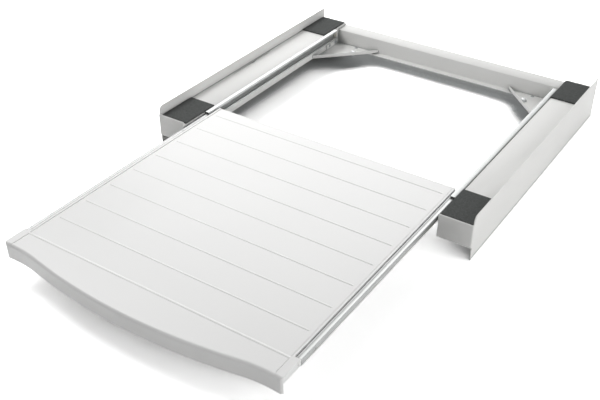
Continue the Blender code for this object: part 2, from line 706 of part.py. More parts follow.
def tray_outline():
    """Plan outline of the tray: bowed front, wide front part, narrower body between the slides."""
    body = TRAY_WIDTH / 2
    start = FRONT_HALF - FRONT_CORNER
    right_corner = arc((start, FRONT_CORNER - TRAVEL), FRONT_CORNER, 270, 360, 4)
    left_corner = arc((-start, FRONT_CORNER - TRAVEL), FRONT_CORNER, 180, 270, 4)
    rear_right = arc((body - REAR_CORNER, TRAY_REAR - REAR_CORNER), REAR_CORNER, 0, 90, 3)
    rear_left = arc((REAR_CORNER - body, TRAY_REAR - REAR_CORNER), REAR_CORNER, 90, 180, 3)
    return (bow_line(0, [RIM_INNER]) + right_corner + [(FRONT_HALF, STEP_Y), (body, STEP_Y)] + rear_right
            + rear_left + [(-body, STEP_Y), (-FRONT_HALF, STEP_Y)] + left_corner)


def front_round(name, level, ends):
    """Cutter that rounds the upper edge of the front at a level, along the front line."""
    steps = 4
    turns = [math.pi / 2 * step / steps for step in range(steps + 1)]
    profile = [(FRONT_ROUND * (1 - math.cos(turn)), FRONT_ROUND * (math.sin(turn) - 1)) for turn in turns]
    profile += [(FRONT_ROUND, OVERRUN), (-OVERRUN, OVERRUN), (-OVERRUN, -FRONT_ROUND)]
    shape = bmesh.new()
    rows = []
    for inset, height in profile:
        rows.append([shape.verts.new((x, y, level + height)) for x, y in bow_line(inset, ends)])
    for row, following in zip(rows, rows[1:] + rows[:1]):
        for index in range(len(row) - 1):
            shape.faces.new((row[index], row[index + 1], following[index + 1], following[index]))
    shape.faces.new([row[0] for row in rows])
    shape.faces.new([row[-1] for row in rows])
    bmesh.ops.recalc_face_normals(shape, faces=shape.faces)
    return add_cutter(name, shape)


def tray_top():
    """Cutter that sinks the top between the rims along the sides."""
    shape = bmesh.new()
    front = -TRAVEL - BOW_DEPTH - OVERRUN
    add_box(shape, (-RIM_INNER, front, TRAY_TOP), (RIM_INNER, TRAY_REAR + OVERRUN, RIM_TOP + OVERRUN))
    return add_cutter("tray_top", shape)


def tray_underside():
    """Cutter that leaves the front lip and takes away what would lie behind it."""
    side = FRONT_HALF + OVERRUN
    shape = bmesh.new()
    line = bow_line(LIP_SHEET, [RIM_INNER])
    outline = ([(-side, line[0][1])] + line + [(side, line[-1][1])]
               + [(side, TRAY_REAR + OVERRUN), (-side, TRAY_REAR + OVERRUN)])
    add_prism(shape, outline, LIP_BOTTOM - OVERRUN, TRAY_BOTTOM)
    return add_cutter("tray_underside", shape)


def tray_pockets():
    """Pockets in the underside, which leave the walls, the ribs and the skin."""
    shape = bmesh.new()
    half = TRAY_WIDTH / 2 - TRAY_WALL
    low, high = TRAY_BOTTOM - OVERRUN, TRAY_TOP - TRAY_SKIN
    divide = RIB_FRONT_OFFSET - TRAVEL
    line = bow_line(LIP_SHEET, [])
    outline = [(-half, line[0][1])] + line + [(half, line[-1][1]), (half, divide), (-half, divide)]
    add_prism(shape, outline, low, high)
    start = divide + POCKET_RIB
    width = (2 * half - (POCKET_COLUMNS - 1) * POCKET_RIB) / POCKET_COLUMNS
    length = (TRAY_REAR - TRAY_WALL - start - (POCKET_ROWS - 1) * POCKET_RIB) / POCKET_ROWS
    for column in range(POCKET_COLUMNS):
        for row in range(POCKET_ROWS):
            x = -half + column * (width + POCKET_RIB)
            y = start + row * (length + POCKET_RIB)
            add_box(shape, (x, y, low), (x + width, y + length, high))
    return add_cutter("tray_pockets", shape)


def tray_bosses():
    """Bosses that the moving slide members are screwed to."""
    shape = bmesh.new()
    boss = SLIDE_RUNNER_HEIGHT - 2 * (SLIDE_SHEET + SLIDE_RACE_DEPTH + GAP)
    for side in (-1, 1):
        for y in runner_screw_places():
            low, high = mirrored((TRAY_WIDTH / 2 - TRAY_WALL / 2, y - BOSS_LENGTH / 2,
                                  SLIDE_MIDDLE - boss / 2),
                                 (RUNNER_OUTER - SLIDE_SHEET - GAP, y + BOSS_LENGTH / 2,
                                  SLIDE_MIDDLE + boss / 2), side)
            add_box(shape, low, high)
    return add_cutter("tray_bosses", shape)


def add_rib(shape, half, y, height):
    """Add one low rib across the tray, with sloping sides."""
    base = TRAY_TOP - TRAY_SKIN / 2
    corners = add_box(shape, (-half, y - RIB_WIDTH / 2, base), (half, y + RIB_WIDTH / 2, TRAY_TOP + height))
    for vert in corners:
        if vert.co.z > TRAY_TOP:
            vert.co.y += (y - vert.co.y) / 2
            vert.co.x -= math.copysign(RIB_WIDTH / 4, vert.co.x)


def tray_ribs():
    """Low ribs that keep things from sliding, the foremost one across the full width."""
    shape = bmesh.new()
    front = RIB_FRONT_OFFSET - TRAVEL
    add_rib(shape, FRONT_HALF - GAP, front, RIB_CROSS_HEIGHT)
    for index in range(1, RIB_COUNT + 1):
        add_rib(shape, RIB_HALF_LENGTH, front + index * RIB_PITCH, RIB_HEIGHT)
    return add_cutter("tray_ribs", shape)


def tray_holes():
    """Pilot holes for the screws of the moving slide members."""
    shape = bmesh.new()
    for side in (-1, 1):
        for y in runner_screw_places():
            add_hole(shape, (side * (RUNNER_OUTER + OVERRUN), y, SLIDE_MIDDLE),
                     (side * (TRAY_WIDTH / 2 - TRAY_WALL - OVERRUN), y, SLIDE_MIDDLE),
                     SCREW_SHANK_RADIUS + GAP)
    return add_cutter("tray_holes", shape)


def shelf_tray():
    """Moulded shelf: skin, walls, ribs below, bowed front with a hanging lip."""
    shape = bmesh.new()
    add_prism(shape, tray_outline(), LIP_BOTTOM, RIM_TOP)
    tray = add_part("shelf_tray", shape, TRAY_PLASTIC)
    combine(tray, front_round("tray_front_round", RIM_TOP, [RIM_INNER, FRONT_HALF + OVERRUN]), "DIFFERENCE")
    combine(tray, tray_top(), "DIFFERENCE")
    combine(tray, front_round("tray_middle_round", TRAY_TOP, [RIM_INNER]), "DIFFERENCE")
    combine(tray, tray_underside(), "DIFFERENCE")
    combine(tray, tray_pockets(), "DIFFERENCE")
    combine(tray, tray_bosses(), "UNION")
    combine(tray, tray_ribs(), "UNION")
    combine(tray, tray_holes(), "DIFFERENCE")
    set_origin(tray, (0, TRAY_REAR, SLIDE_MIDDLE))
    return tray


for SIDE in (-1, 1):
    side_plate(SIDE)
    side_channel(SIDE)
    corner_gusset(SIDE)
    gusset_rivets(SIDE)
    clamp_screw(SIDE)
    slide_outer(SIDE)
    slide_buffer(SIDE)
    ball_cage(SIDE)
    slide_runner(SIDE)
    slide_screws(SIDE)
cross_member()
pads()
shelf_tray()
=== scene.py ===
# %% [markdown]
# # A stacking frame with a pull-out shelf
#
# This frame stands between a washing machine and a dryer.  Two upright side plates, two side
# channels and a cross member at the back are folded from sheet steel and coated white.  A moulded
# shelf runs between the channels on telescopic ball slides, and four dark foam pads carry the dryer.
#
# The solids of the frame are loaded first and stay where they are.  The cells below give every
# surface its finish, and build finer pieces where the plain solid is too simple for a close look.

# %% Load the solids
import math

import bmesh
import bpy
from mathutils import Matrix, Vector, noise


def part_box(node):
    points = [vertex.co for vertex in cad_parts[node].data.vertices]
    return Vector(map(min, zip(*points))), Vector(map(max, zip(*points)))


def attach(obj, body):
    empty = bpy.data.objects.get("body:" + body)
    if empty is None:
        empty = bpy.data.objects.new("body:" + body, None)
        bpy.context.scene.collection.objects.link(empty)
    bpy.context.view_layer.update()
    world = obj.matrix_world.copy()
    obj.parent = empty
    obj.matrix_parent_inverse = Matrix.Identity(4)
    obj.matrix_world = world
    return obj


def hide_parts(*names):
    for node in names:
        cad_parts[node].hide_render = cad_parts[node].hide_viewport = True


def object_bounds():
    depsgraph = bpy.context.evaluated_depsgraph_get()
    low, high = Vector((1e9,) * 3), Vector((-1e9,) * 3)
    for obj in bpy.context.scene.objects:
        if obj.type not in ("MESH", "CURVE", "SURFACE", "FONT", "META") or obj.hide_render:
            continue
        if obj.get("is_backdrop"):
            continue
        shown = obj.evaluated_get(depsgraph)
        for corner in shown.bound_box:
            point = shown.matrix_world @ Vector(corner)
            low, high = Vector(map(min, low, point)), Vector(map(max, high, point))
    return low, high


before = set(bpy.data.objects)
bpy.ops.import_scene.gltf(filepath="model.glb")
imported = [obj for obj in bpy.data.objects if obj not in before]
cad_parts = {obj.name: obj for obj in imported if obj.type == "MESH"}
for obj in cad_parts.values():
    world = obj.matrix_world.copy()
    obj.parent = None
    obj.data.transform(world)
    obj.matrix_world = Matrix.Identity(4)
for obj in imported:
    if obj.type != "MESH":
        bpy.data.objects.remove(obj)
cad_low, cad_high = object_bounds()
print("solids:", len(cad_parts), "box from", tuple(cad_low), "to", tuple(cad_high))

# %% [markdown]
# ## The camera
#
# The object is seen from above on the right.  The place and the angles come from a perspective fit
# to the edges of the side plates, whose real width is known from the machines that the frame fits.
# They could be set by eye, but a fit keeps every edge on its place across the whole picture.

# %% Camera at the photograph's angle
CAMERA_FROM_REAR = Vector((0.68367, -1.56106, 0.83490))
CAMERA_TURN = math.radians(33.88)
CAMERA_TILT = math.radians(34.31)
SENSOR_WIDTH = 36.0
FOCAL_LENGTH = 54.14

camera_data = bpy.data.cameras.new("photo_camera")
camera_data.sensor_width = SENSOR_WIDTH
camera_data.lens = FOCAL_LENGTH
camera = bpy.data.objects.new("photo_camera", camera_data)
plate_low, plate_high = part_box("side_plate_right")
camera.location = Vector((0, plate_high.y, plate_low.z)) + CAMERA_FROM_REAR
camera.rotation_euler = (math.pi / 2 - CAMERA_TILT, 0, CAMERA_TURN)
bpy.context.scene.collection.objects.link(camera)
bpy.context.scene.camera = camera
print("camera", tuple(round(value, 3) for value in camera.location))

# %% [markdown]
# ## Colours and material nodes
#
# A colour is written the way a painter's chart gives it, as an sRGB hex value.  Shaders count in
# linear light, so one function turns the hex value into what the shader needs.  A small function
# adds a node; an input that is given another node's socket is linked to it, and any other value is
# set.  A few more stand for the steps that most finishes share, so each material is a short list.

# %% Helpers for colours and nodes
MILLIMETRE = 0.001


def linear(hex_colour):
    """Turn an sRGB hex value into linear red, green, blue and alpha."""
    channels = [int(hex_colour[start:start + 2], 16) / 255 for start in (1, 3, 5)]
    return [c / 12.92 if c <= 0.04045 else ((c + 0.055) / 1.055) ** 2.4 for c in channels] + [1.0]


def add_node(tree, kind, inputs=None, **settings):
    """Add a node with its settings, and set its inputs or link them to sockets."""
    node = tree.nodes.new(kind)
    for field, value in settings.items():
        setattr(node, field, value)
    for name, source in (inputs or {}).items():
        if isinstance(source, bpy.types.NodeSocket):
            tree.links.new(source, node.inputs[name])
        else:
            node.inputs[name].default_value = source
    return node


def new_material(name, roughness, metallic=0.0):
    """Start a material; return it, its node tree, its one shader and the socket of the place."""
    material = bpy.data.materials.new(name)
    material.use_nodes = True
    tree = material.node_tree
    shader = tree.nodes["Principled BSDF"]
    shader.inputs["Roughness"].default_value = roughness
    shader.inputs["Metallic"].default_value = metallic
    return material, tree, shader, add_node(tree, "ShaderNodeTexCoord").outputs["Object"]


def lumps(tree, place, size, detail):
    """Socket of a noise whose lumps have a real size."""
    inputs = {"Scale": 1 / size, "Detail": detail, "Vector": place}
    return add_node(tree, "ShaderNodeTexNoise", inputs).outputs["Fac"]


def average(tree, first, second, share):
    """Socket of a value between two others, by the share of the second one."""
    inputs = {"Factor": share, "A": first, "B": second}
    return add_node(tree, "ShaderNodeMix", inputs, data_type="FLOAT").outputs["Result"]


def blend(tree, first, second, factor):
    """Socket of a colour between two others, each a hex value, four numbers or a socket."""
    first, second = [linear(end) if isinstance(end, str) else end for end in (first, second)]
    inputs = {"Factor": factor, "A": first, "B": second}
    return add_node(tree, "ShaderNodeMix", inputs, data_type="RGBA").outputs["Result"]


def smooth_step(tree, socket, start, end):
    """Socket that rises smoothly from 0 to 1 as another one goes from start to end."""
    inputs = {"Value": socket, "From Min": start, "From Max": end}
    return add_node(tree, "ShaderNodeMapRange", inputs,
                    interpolation_type="SMOOTHSTEP").outputs["Result"]


def closed_places(tree, reach, start, end):
    """Socket that rises from 0 to 1 as the open share of the sky within a reach falls."""
    sky = add_node(tree, "ShaderNodeAmbientOcclusion", {"Distance": reach}, samples=16)
    return smooth_step(tree, sky.outputs["AO"], start, end)


def colour_and_bump(tree, shader, colour, height, strength, depth):
    """Link a colour to the shader, and a height as a bump of a real depth."""
    bump = add_node(tree, "ShaderNodeBump", {"Strength": strength, "Distance": depth, "Height": height})
    tree.links.new(colour, shader.inputs["Base Color"])
    tree.links.new(bump.outputs["Normal"], shader.inputs["Normal"])


print("white is", [round(value, 3) for value in linear("#FFFFFF")])

# %% [markdown]
# ## White powder coat
#
# The sheet steel is sprayed with polyester powder and baked.  The powder flows into a skin with a
# soft, shallow orange peel, a little over a millimetre from bump to bump, and satin to the eye.
# A fine noise in the bump gives the peel, and a large one shifts the white by a shade, as where the
# spray was thicker.  In deep recesses, as on the wall under a slide, the white is painted grey as
# shade; an ambient occlusion node finds those places.

# %% Powder coat
def make_powder_coat():
    """White powder coat on sheet steel, with painted shade in deep recesses."""
    material, tree, shader, place = new_material("white_powder_coat_finish", roughness=0.62)
    shader.inputs["Specular IOR Level"].default_value = 0.35
    cloud = lumps(tree, place, size=90 * MILLIMETRE, detail=2.0)
    peel = lumps(tree, place, size=1.4 * MILLIMETRE, detail=1.0)
    # painted shade: where little sky is open the coat colour is mixed towards grey #A3A5A4
    painted_recess_shade = closed_places(tree, reach=26 * MILLIMETRE, start=0.62, end=0.30)
    coat = blend(tree, blend(tree, "#EFEFED", "#E9E9E7", cloud), "#A3A5A4", painted_recess_shade)
    colour_and_bump(tree, shader, coat, peel, strength=0.25, depth=0.04 * MILLIMETRE)
    return material


POWDER_COAT = make_powder_coat()
print("made", POWDER_COAT.name)

# %% [markdown]
# ## Moulded white plastic
#
# The shelf is injection moulded from white ABS, in a tool with a fine spark-eroded grain.  That
# grain is a few tenths of a millimetre, too fine to see from a step away, so it is drawn at half a
# millimetre.  It breaks up the reflections and leaves a satin sheen.

# %% Moulded plastic
def make_moulded_plastic():
    """White ABS with a fine moulded grain."""
    material, tree, shader, place = new_material("white_moulded_plastic_finish", roughness=0.36)
    flow = lumps(tree, place, size=160 * MILLIMETRE, detail=2.0)
    grain = lumps(tree, place, size=0.5 * MILLIMETRE, detail=2.0)
    shade = blend(tree, "#EEEEED", "#E9E9E8", flow)
    colour_and_bump(tree, shader, shade, grain, strength=0.2, depth=0.02 * MILLIMETRE)
    return material


MOULDED_PLASTIC = make_moulded_plastic()
print("made", MOULDED_PLASTIC.name)

# %% [markdown]
# ## Charcoal foam
#
# The pads are cut from closed-cell EVA foam.  The cut face is matt and shows its cells as light and
# dark grains about a millimetre across.  Voronoi cells of that size and a softer mottle choose
# between two charcoals, and the same cells dent the surface.

# %% Foam
def make_foam():
    """Charcoal closed-cell foam with its cut cells."""
    cell_size = 1.3 * MILLIMETRE
    material, tree, shader, place = new_material("charcoal_foam_finish", roughness=0.95)
    shader.inputs["Specular IOR Level"].default_value = 0.25
    cells = add_node(tree, "ShaderNodeTexVoronoi", {"Scale": 1 / cell_size, "Vector": place}).outputs
    mottle = lumps(tree, place, size=3 * cell_size, detail=3.0)
    shade = blend(tree, "#3B3D3C", "#5E605F", average(tree, mottle, cells["Color"], share=0.45))
    colour_and_bump(tree, shader, shade, cells["Distance"], strength=0.6, depth=0.25 * MILLIMETRE)
    return material


FOAM = make_foam()
print("made", FOAM.name)

# %% [markdown]
# ## Zinc-plated steel
#
# The slides and the screws are cold-rolled steel with bright zinc on it.  Rolling leaves fine
# streaks along the length of the strip, so the noise is squeezed across the slide and stretched
# along it.  A second noise makes the plating a little cloudy.  The moving members and their screws
# get a darker copy of the same zinc, which is painted shade on the moving members' sides.

# %% Zinc plate
LONG_STREAKS = 60 * MILLIMETRE
SHORT_STREAKS = 2 * MILLIMETRE


def make_zinc_plate(name, bright, dull, roughness, streak_length):
    """Bright zinc on steel, with rolling streaks of a given length along Y."""
    streak_width = 0.6 * MILLIMETRE
    material, tree, shader, place = new_material(name, roughness, metallic=1.0)
    scale = (1 / streak_width, 1 / streak_length, 1 / streak_width)
    stretched = add_node(tree, "ShaderNodeMapping", {"Scale": scale, "Vector": place}).outputs["Vector"]
    streaks = lumps(tree, stretched, size=1, detail=2.0)
    cloud = lumps(tree, place, size=12 * MILLIMETRE, detail=3.0)
    shade = blend(tree, bright, dull, average(tree, streaks, cloud, share=0.5))
    colour_and_bump(tree, shader, shade, streaks, strength=0.15, depth=0.02 * MILLIMETRE)
    return material


ZINC_STRIP = make_zinc_plate("zinc_plated_strip_finish", "#B6B7B6", "#A2A4A4", 0.52, LONG_STREAKS)
# a darker copy of the zinc, painted shade for the moving members' sides and their screws
SHADE_DARKENED_ZINC = make_zinc_plate("shade_darkened_zinc_strip_finish", "#A6A7A6", "#929393", 0.42, LONG_STREAKS)
ZINC_SCREW = make_zinc_plate("zinc_plated_screw_finish", "#B4B6B8", "#9C9EA1", 0.34, SHORT_STREAKS)
ZINC_CLAMP = make_zinc_plate("zinc_clamp_screw_finish", "#D2D4D4", "#C2C4C4", 0.55, SHORT_STREAKS)
BEARING_STEEL = make_zinc_plate("cage_steel_finish", "#A9ABAE", "#8E9094", 0.30, SHORT_STREAKS)
BALL_STEEL = make_zinc_plate("ground_ball_steel_finish", "#C2C3C6", "#B0B1B5", 0.12, SHORT_STREAKS)
print("made", ZINC_STRIP.name, SHADE_DARKENED_ZINC.name, ZINC_SCREW.name, ZINC_CLAMP.name, BEARING_STEEL.name,
      BALL_STEEL.name)

# %% [markdown]
# ## Natural nylon
#
# The small buffers at the back of the slides are moulded nylon in its natural colour, a milky
# white that turns a little yellow in patches as it takes up moisture.

# %% Nylon
def make_nylon():
    """Milky satin nylon with slightly yellowed patches."""
    material, tree, shader, place = new_material("pale_nylon_finish", roughness=0.45)
    bloom = lumps(tree, place, size=3 * MILLIMETRE, detail=4.0)
    tree.links.new(blend(tree, "#D5D3CC", "#C6C2B6", bloom), shader.inputs["Base Color"])
    return material


NYLON = make_nylon()
print("made", NYLON.name)

# %% [markdown]
# ## Where things are
#
# Every size below is read from the solids, so the finer pieces follow the frame if it changes.
# A box gives the lowest and highest corner of a solid.

# %% Places read from the frame
SIDES = (("left", -1), ("right", 1))

tray_low, tray_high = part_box("shelf_tray")
runner_low, runner_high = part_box("slide_runner_right")
outer_low, outer_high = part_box("slide_outer_right")
channel_low, channel_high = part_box("side_channel_right")
print("tray", tuple(tray_low), tuple(tray_high))
print("runner", tuple(runner_low), tuple(runner_high))
print("fixed slide member", tuple(outer_low), tuple(outer_high))
print("channel", tuple(channel_low), tuple(channel_high))

# %% [markdown]
# ## Helpers for finer pieces
#
# A new piece is a mesh in the frame's own coordinates.  It takes its finish, rides on the body of
# the solid that it stands for, and that solid is then hidden.

# %% Mesh helpers
def to_object(name, shape):
    """Turn a bmesh into an object of the scene."""
    mesh = bpy.data.meshes.new(name)
    shape.to_mesh(mesh)
    shape.free()
    made = bpy.data.objects.new(name, mesh)
    bpy.context.scene.collection.objects.link(made)
    return made


def place_piece(name, shape, material, body, replaced=()):
    """Turn a bmesh into a piece that rides on a body and stands for solids of the frame."""
    piece = to_object(name, shape)
    piece.data.materials.append(material)
    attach(piece, body)
    if replaced:
        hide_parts(*replaced)
    return piece


def arc_points(centre, radius, start, end, steps):
    """Points of an arc between two angles in degrees, both ends included."""
    points = []
    for step in range(steps + 1):
        angle = math.radians(start + (end - start) * step / steps)
        points.append((centre[0] + radius * math.cos(angle), centre[1] + radius * math.sin(angle)))
    return points


def extrude(shape, corners, along):
    """Add a closed body, a flat outline drawn out along a vector."""
    face = shape.faces.new([shape.verts.new(corner) for corner in corners])
    moved = bmesh.ops.extrude_face_region(shape, geom=[face])["geom"]
    far = [item for item in moved if isinstance(item, bmesh.types.BMVert)]
    bmesh.ops.translate(shape, verts=far, vec=along)
    bmesh.ops.recalc_face_normals(shape, faces=shape.faces)


def add_prism(shape, outline, low, high):
    """Add a closed prism over a plan outline, from one level to another."""
    extrude(shape, [(x, y, low) for x, y in outline], (0, 0, high - low))


def add_box(shape, low, high):
    """Add a closed box between two corners."""
    low, high = Vector(map(min, low, high)), Vector(map(max, low, high))
    place = Matrix.Translation((low + high) / 2) @ Matrix.Diagonal((*(high - low), 1))
    bmesh.ops.create_cube(shape, size=1, matrix=place)


def round_edges(shape, radius, segments):
    """Round all edges of a bmesh."""
    bmesh.ops.bevel(shape, geom=list(shape.edges), offset=radius, segments=segments, profile=0.5,
                    affect="EDGES")


def join_or_cut(piece, shape, operation):
    """Join a bmesh onto a piece, or cut it out, and apply the result."""
    tool = to_object("tool", shape)
    step = piece.modifiers.new("tool", "BOOLEAN")
    step.operation = operation
    step.solver = "EXACT"
    step.object = tool
    view = bpy.context.evaluated_depsgraph_get()
    view.update()
    finished = bpy.data.meshes.new_from_object(piece.evaluated_get(view))
    piece.modifiers.clear()
    piece.data = finished
    bpy.data.objects.remove(tool)


def add_skin(shape, rows):
    """Add the faces between rows of vertices that are all equally long."""
    for row, following in zip(rows, rows[1:]):
        for index in range(len(row) - 1):
            shape.faces.new((row[index], row[index + 1], following[index + 1], following[index]))


def smooth_by_angle(piece, degrees):
    """Shade a piece smooth, except across edges that turn by more than an angle."""
    for polygon in piece.data.polygons:
        polygon.use_smooth = True
    piece.data.set_sharp_from_angle(angle=math.radians(degrees))


def make_both(make):
    """Make a piece on the left and on the right."""
    for label, side in SIDES:
        made = make(label, side)
        print(made.name, "faces", len(made.data.polygons))


def stand_on(place, direction):
    """Matrix that stands an upright shape on a place, its axis turned to a direction."""
    return Matrix.Translation(place) @ Vector(direction).to_track_quat("Z", "Y").to_matrix().to_4x4()


def add_turned(shape, outline, place=(0, 0, 0), direction=(0, 0, 1), steps=32):
    """Add a closed turned body, whose outline gives radius and height along an axis."""
    position = stand_on(place, direction)
    rings = []
    for radius, height in outline:
        count = steps if radius > 0 else 1
        angles = [math.tau * step / count for step in range(count)]
        points = [Vector((radius * math.cos(a), radius * math.sin(a), height)) for a in angles]
        rings.append([shape.verts.new(position @ point) for point in points])
    for ring, following in zip(rings, rings[1:]):
        for step in range(steps):
            after = (step + 1) % steps
            corners = [ring[step % len(ring)], ring[after % len(ring)],
                       following[after % len(following)], following[step % len(following)]]
            shape.faces.new(list(dict.fromkeys(corners)))
    bmesh.ops.recalc_face_normals(shape, faces=shape.faces)


def keep_pattern(name, shape, cutters=()):
    """Keep an upright shape, with cutters taken out of it one by one, as a mesh to copy."""
    sample = to_object(name, shape)
    for cutter in cutters:
        join_or_cut(sample, cutter, "DIFFERENCE")
    pattern = sample.data
    bpy.data.objects.remove(sample)
    return pattern


def place_copy(pattern, node, ending, place, direction, material, body):
    """Stand a steel pattern's copy on a place for a solid, its axis turned to a direction."""
    shape = bmesh.new()
    shape.from_mesh(pattern)
    bmesh.ops.transform(shape, matrix=stand_on(place, direction), verts=shape.verts)
    copy = place_piece(node + ending, shape, material, body, [node])
    smooth_by_angle(copy, degrees=35)


print("helpers ready")

# %% [markdown]
# ## The shelf
#
# The shelf is one moulding.  Its front edge swings out in a shallow bow between two short straight
# ends, and hangs down as a lip to pull by.  Low rounded ribs lie across the top, a ridge runs along
# each side, and the underside is stiffened by a grid of walls.  The outline is a few arcs, so a
# prism with a rounded upper edge gives the body, and the rest is joined on or cut out.

# %% Sizes of the shelf
BOW_DEPTH = 21.1 * MILLIMETRE
BOW_SIDE = 22 * MILLIMETRE
BOW_BLEND = 215 * MILLIMETRE
FRONT_DEPTH = 40.1 * MILLIMETRE
FRONT_ROUND = 4.5 * MILLIMETRE
FRONT_CORNER = 5 * MILLIMETRE
REAR_CORNER = 2 * MILLIMETRE
LIP_HEIGHT = 25.8 * MILLIMETRE
LIP_SHEET = 2.5 * MILLIMETRE
SKIRT = 9.2 * MILLIMETRE
SKIN = 2.6 * MILLIMETRE
WALL = 2.2 * MILLIMETRE
RIM_WIDTH = 3 * MILLIMETRE
RIM_HEIGHT = 0.9 * MILLIMETRE
GROOVE_GAP = 0.4 * MILLIMETRE
GROOVE_WIDTH = 0.7 * MILLIMETRE
GROOVE_DEPTH = 0.5 * MILLIMETRE
GROOVE_FRONT = 6 * MILLIMETRE
RIB_FRONT = 35.9 * MILLIMETRE
RIB_REAR = 24.6 * MILLIMETRE
RIB_COUNT = 8
RIB_WIDTH = 3.4 * MILLIMETRE
RIB_HEIGHT = 0.6 * MILLIMETRE
RIB_CROSS_HEIGHT = 0.65 * MILLIMETRE
RIB_CROSS_WIDTH = 4.4 * MILLIMETRE
RIB_END = 7.3 * MILLIMETRE
SLOT_WIDTH = 1.65 * MILLIMETRE
OVERRUN = 4 * MILLIMETRE

tray_level = tray_low.z + LIP_HEIGHT
front_half = tray_high.x
body_half = runner_low.x - SLOT_WIDTH
rim_inner = body_half - RIM_WIDTH
rear_y = tray_high.y
bow_half = front_half - BOW_SIDE
bow_radius = (bow_half ** 2 + BOW_DEPTH ** 2) / (2 * BOW_DEPTH) - BOW_BLEND
bow_dip = BOW_BLEND - math.sqrt(BOW_BLEND ** 2 - (BOW_SIDE - FRONT_CORNER) ** 2)
dip_y = tray_low.y + BOW_DEPTH
corner_y = dip_y - bow_dip
step_y = corner_y + FRONT_DEPTH
rib_pitch = (rear_y - RIB_REAR - corner_y - RIB_FRONT) / RIB_COUNT
print("shelf level", round(tray_level, 5), "rib pitch", round(rib_pitch, 5), "bow", round(bow_radius, 4))


# %% Outline of the shelf
def mirrored(points):
    """The same points on the other side of the middle, in reverse order."""
    return [(-x, y) for x, y in reversed(points)]


def bow_line(inset, ends):
    """Front line of the shelf from left to right, moved back by an inset.

    A flat arc in the middle is blended by two reverse arcs into the sides.  These pass their
    rearmost points and swing forward again to the ends, given as distances from the middle.
    """
    turn = math.degrees(math.asin(bow_half / (bow_radius + BOW_BLEND)))
    centre = (0, dip_y - BOW_DEPTH + bow_radius)
    middle = arc_points(centre, bow_radius - inset, 270 - turn, 270 + turn, steps=40)
    right = arc_points((bow_half, dip_y - BOW_BLEND), BOW_BLEND + inset, 90 + turn, 90, steps=12)
    for end in ends:
        past = math.asin((end - bow_half) / BOW_BLEND)
        right.append((bow_half + (BOW_BLEND + inset) * math.sin(past),
                      dip_y - BOW_BLEND + (BOW_BLEND + inset) * math.cos(past)))
    return mirrored(right)[:-1] + middle + right[1:]


def tray_outline():
    """Plan outline of the shelf: bowed front, wide front part, narrower body between the slides."""
    centre = (front_half - FRONT_CORNER, corner_y + FRONT_CORNER)
    side = arc_points(centre, FRONT_CORNER, 270, 360, steps=8)
    side += [(front_half, step_y), (body_half, step_y)]
    side += arc_points((body_half - REAR_CORNER, rear_y - REAR_CORNER), REAR_CORNER, 0, 90, steps=5)
    return bow_line(0, [rim_inner]) + side + mirrored(side)


print("outline points", len(tray_outline()))


# %% Body of the shelf
def front_round(level, ends):
    """Shape that rounds the upper edge of the front at a level, swept along the front line."""
    quarter = arc_points((0, 0), FRONT_ROUND, 0, 90, steps=8)
    profile = [(FRONT_ROUND - x, y - FRONT_ROUND) for x, y in quarter]
    profile += [(FRONT_ROUND, OVERRUN), (-OVERRUN, OVERRUN), (-OVERRUN, -FRONT_ROUND)]
    shape = bmesh.new()
    rows = [[shape.verts.new((x, y, level + height)) for x, y in bow_line(inset, ends)]
            for inset, height in profile]
    add_skin(shape, rows + rows[:1])
    shape.faces.new([row[0] for row in rows])
    shape.faces.new([row[-1] for row in rows])
    bmesh.ops.recalc_face_normals(shape, faces=shape.faces)
    return shape


def area_behind(line, half, rear):
    """Outline of the area behind a front line, out to a half width and back to a rear end."""
    return [(-half, line[0][1])] + line + [(half, line[-1][1]), (half, rear), (-half, rear)]


def make_tray():
    """Prism over the outline: its front edge rounded, its top sunk between the rims, its lip left."""
    shape = bmesh.new()
    rim_top = tray_level + RIM_HEIGHT
    rear = rear_y + OVERRUN
    add_prism(shape, tray_outline(), tray_low.z, rim_top)
    tray = place_piece("moulded_shelf", shape, MOULDED_PLASTIC, "shelf",
                       ["shelf_tray"])
    join_or_cut(tray, front_round(rim_top, [rim_inner, front_half + OVERRUN]), "DIFFERENCE")
    top = bmesh.new()
    add_box(top, (-rim_inner, tray_low.y - OVERRUN, tray_level), (rim_inner, rear, rim_top + OVERRUN))
    join_or_cut(tray, top, "DIFFERENCE")
    join_or_cut(tray, front_round(tray_level, [rim_inner]), "DIFFERENCE")
    outline = area_behind(bow_line(LIP_SHEET, [rim_inner]), front_half + OVERRUN, rear)
    under = bmesh.new()
    add_prism(under, outline, tray_low.z - OVERRUN, tray_level - SKIRT)
    join_or_cut(tray, under, "DIFFERENCE")
    return tray


shelf = make_tray()
print("shelf faces", len(shelf.data.polygons))

# %% [markdown]
# The pockets leave a skin on top and thin walls between them.  They can't be seen from above, but
# the shelf is also looked at from below.

# %% Pockets in the underside
POCKET_COLUMNS = 3
POCKET_ROWS = 4
POCKET_WALL = 2 * MILLIMETRE


def cut_pockets(tray):
    """Hollow the underside into a grid of pockets."""
    shape = bmesh.new()
    half = body_half - WALL
    low, high = tray_level - SKIRT - OVERRUN, tray_level - SKIN
    divide = corner_y + RIB_FRONT
    add_prism(shape, area_behind(bow_line(LIP_SHEET, []), half, divide), low, high)
    start = divide + POCKET_WALL
    width = (2 * half - (POCKET_COLUMNS - 1) * POCKET_WALL) / POCKET_COLUMNS
    length = (rear_y - WALL - start - (POCKET_ROWS - 1) * POCKET_WALL) / POCKET_ROWS
    for column in range(POCKET_COLUMNS):
        for row in range(POCKET_ROWS):
            x = -half + column * (width + POCKET_WALL)
            y = start + row * (length + POCKET_WALL)
            add_box(shape, (x, y, low), (x + width, y + length, high))
    join_or_cut(tray, shape, "DIFFERENCE")


cut_pockets(shelf)
print("shelf faces", len(shelf.data.polygons))

# %% [markdown]
# A rib is a long bar with round ends that lies almost wholly inside the skin, so only its crown
# stands out.  Such a bar is a sphere whose two halves are pulled apart.  The radius follows from
# the width and the height of the crown.  A fine groove runs beside each rim.


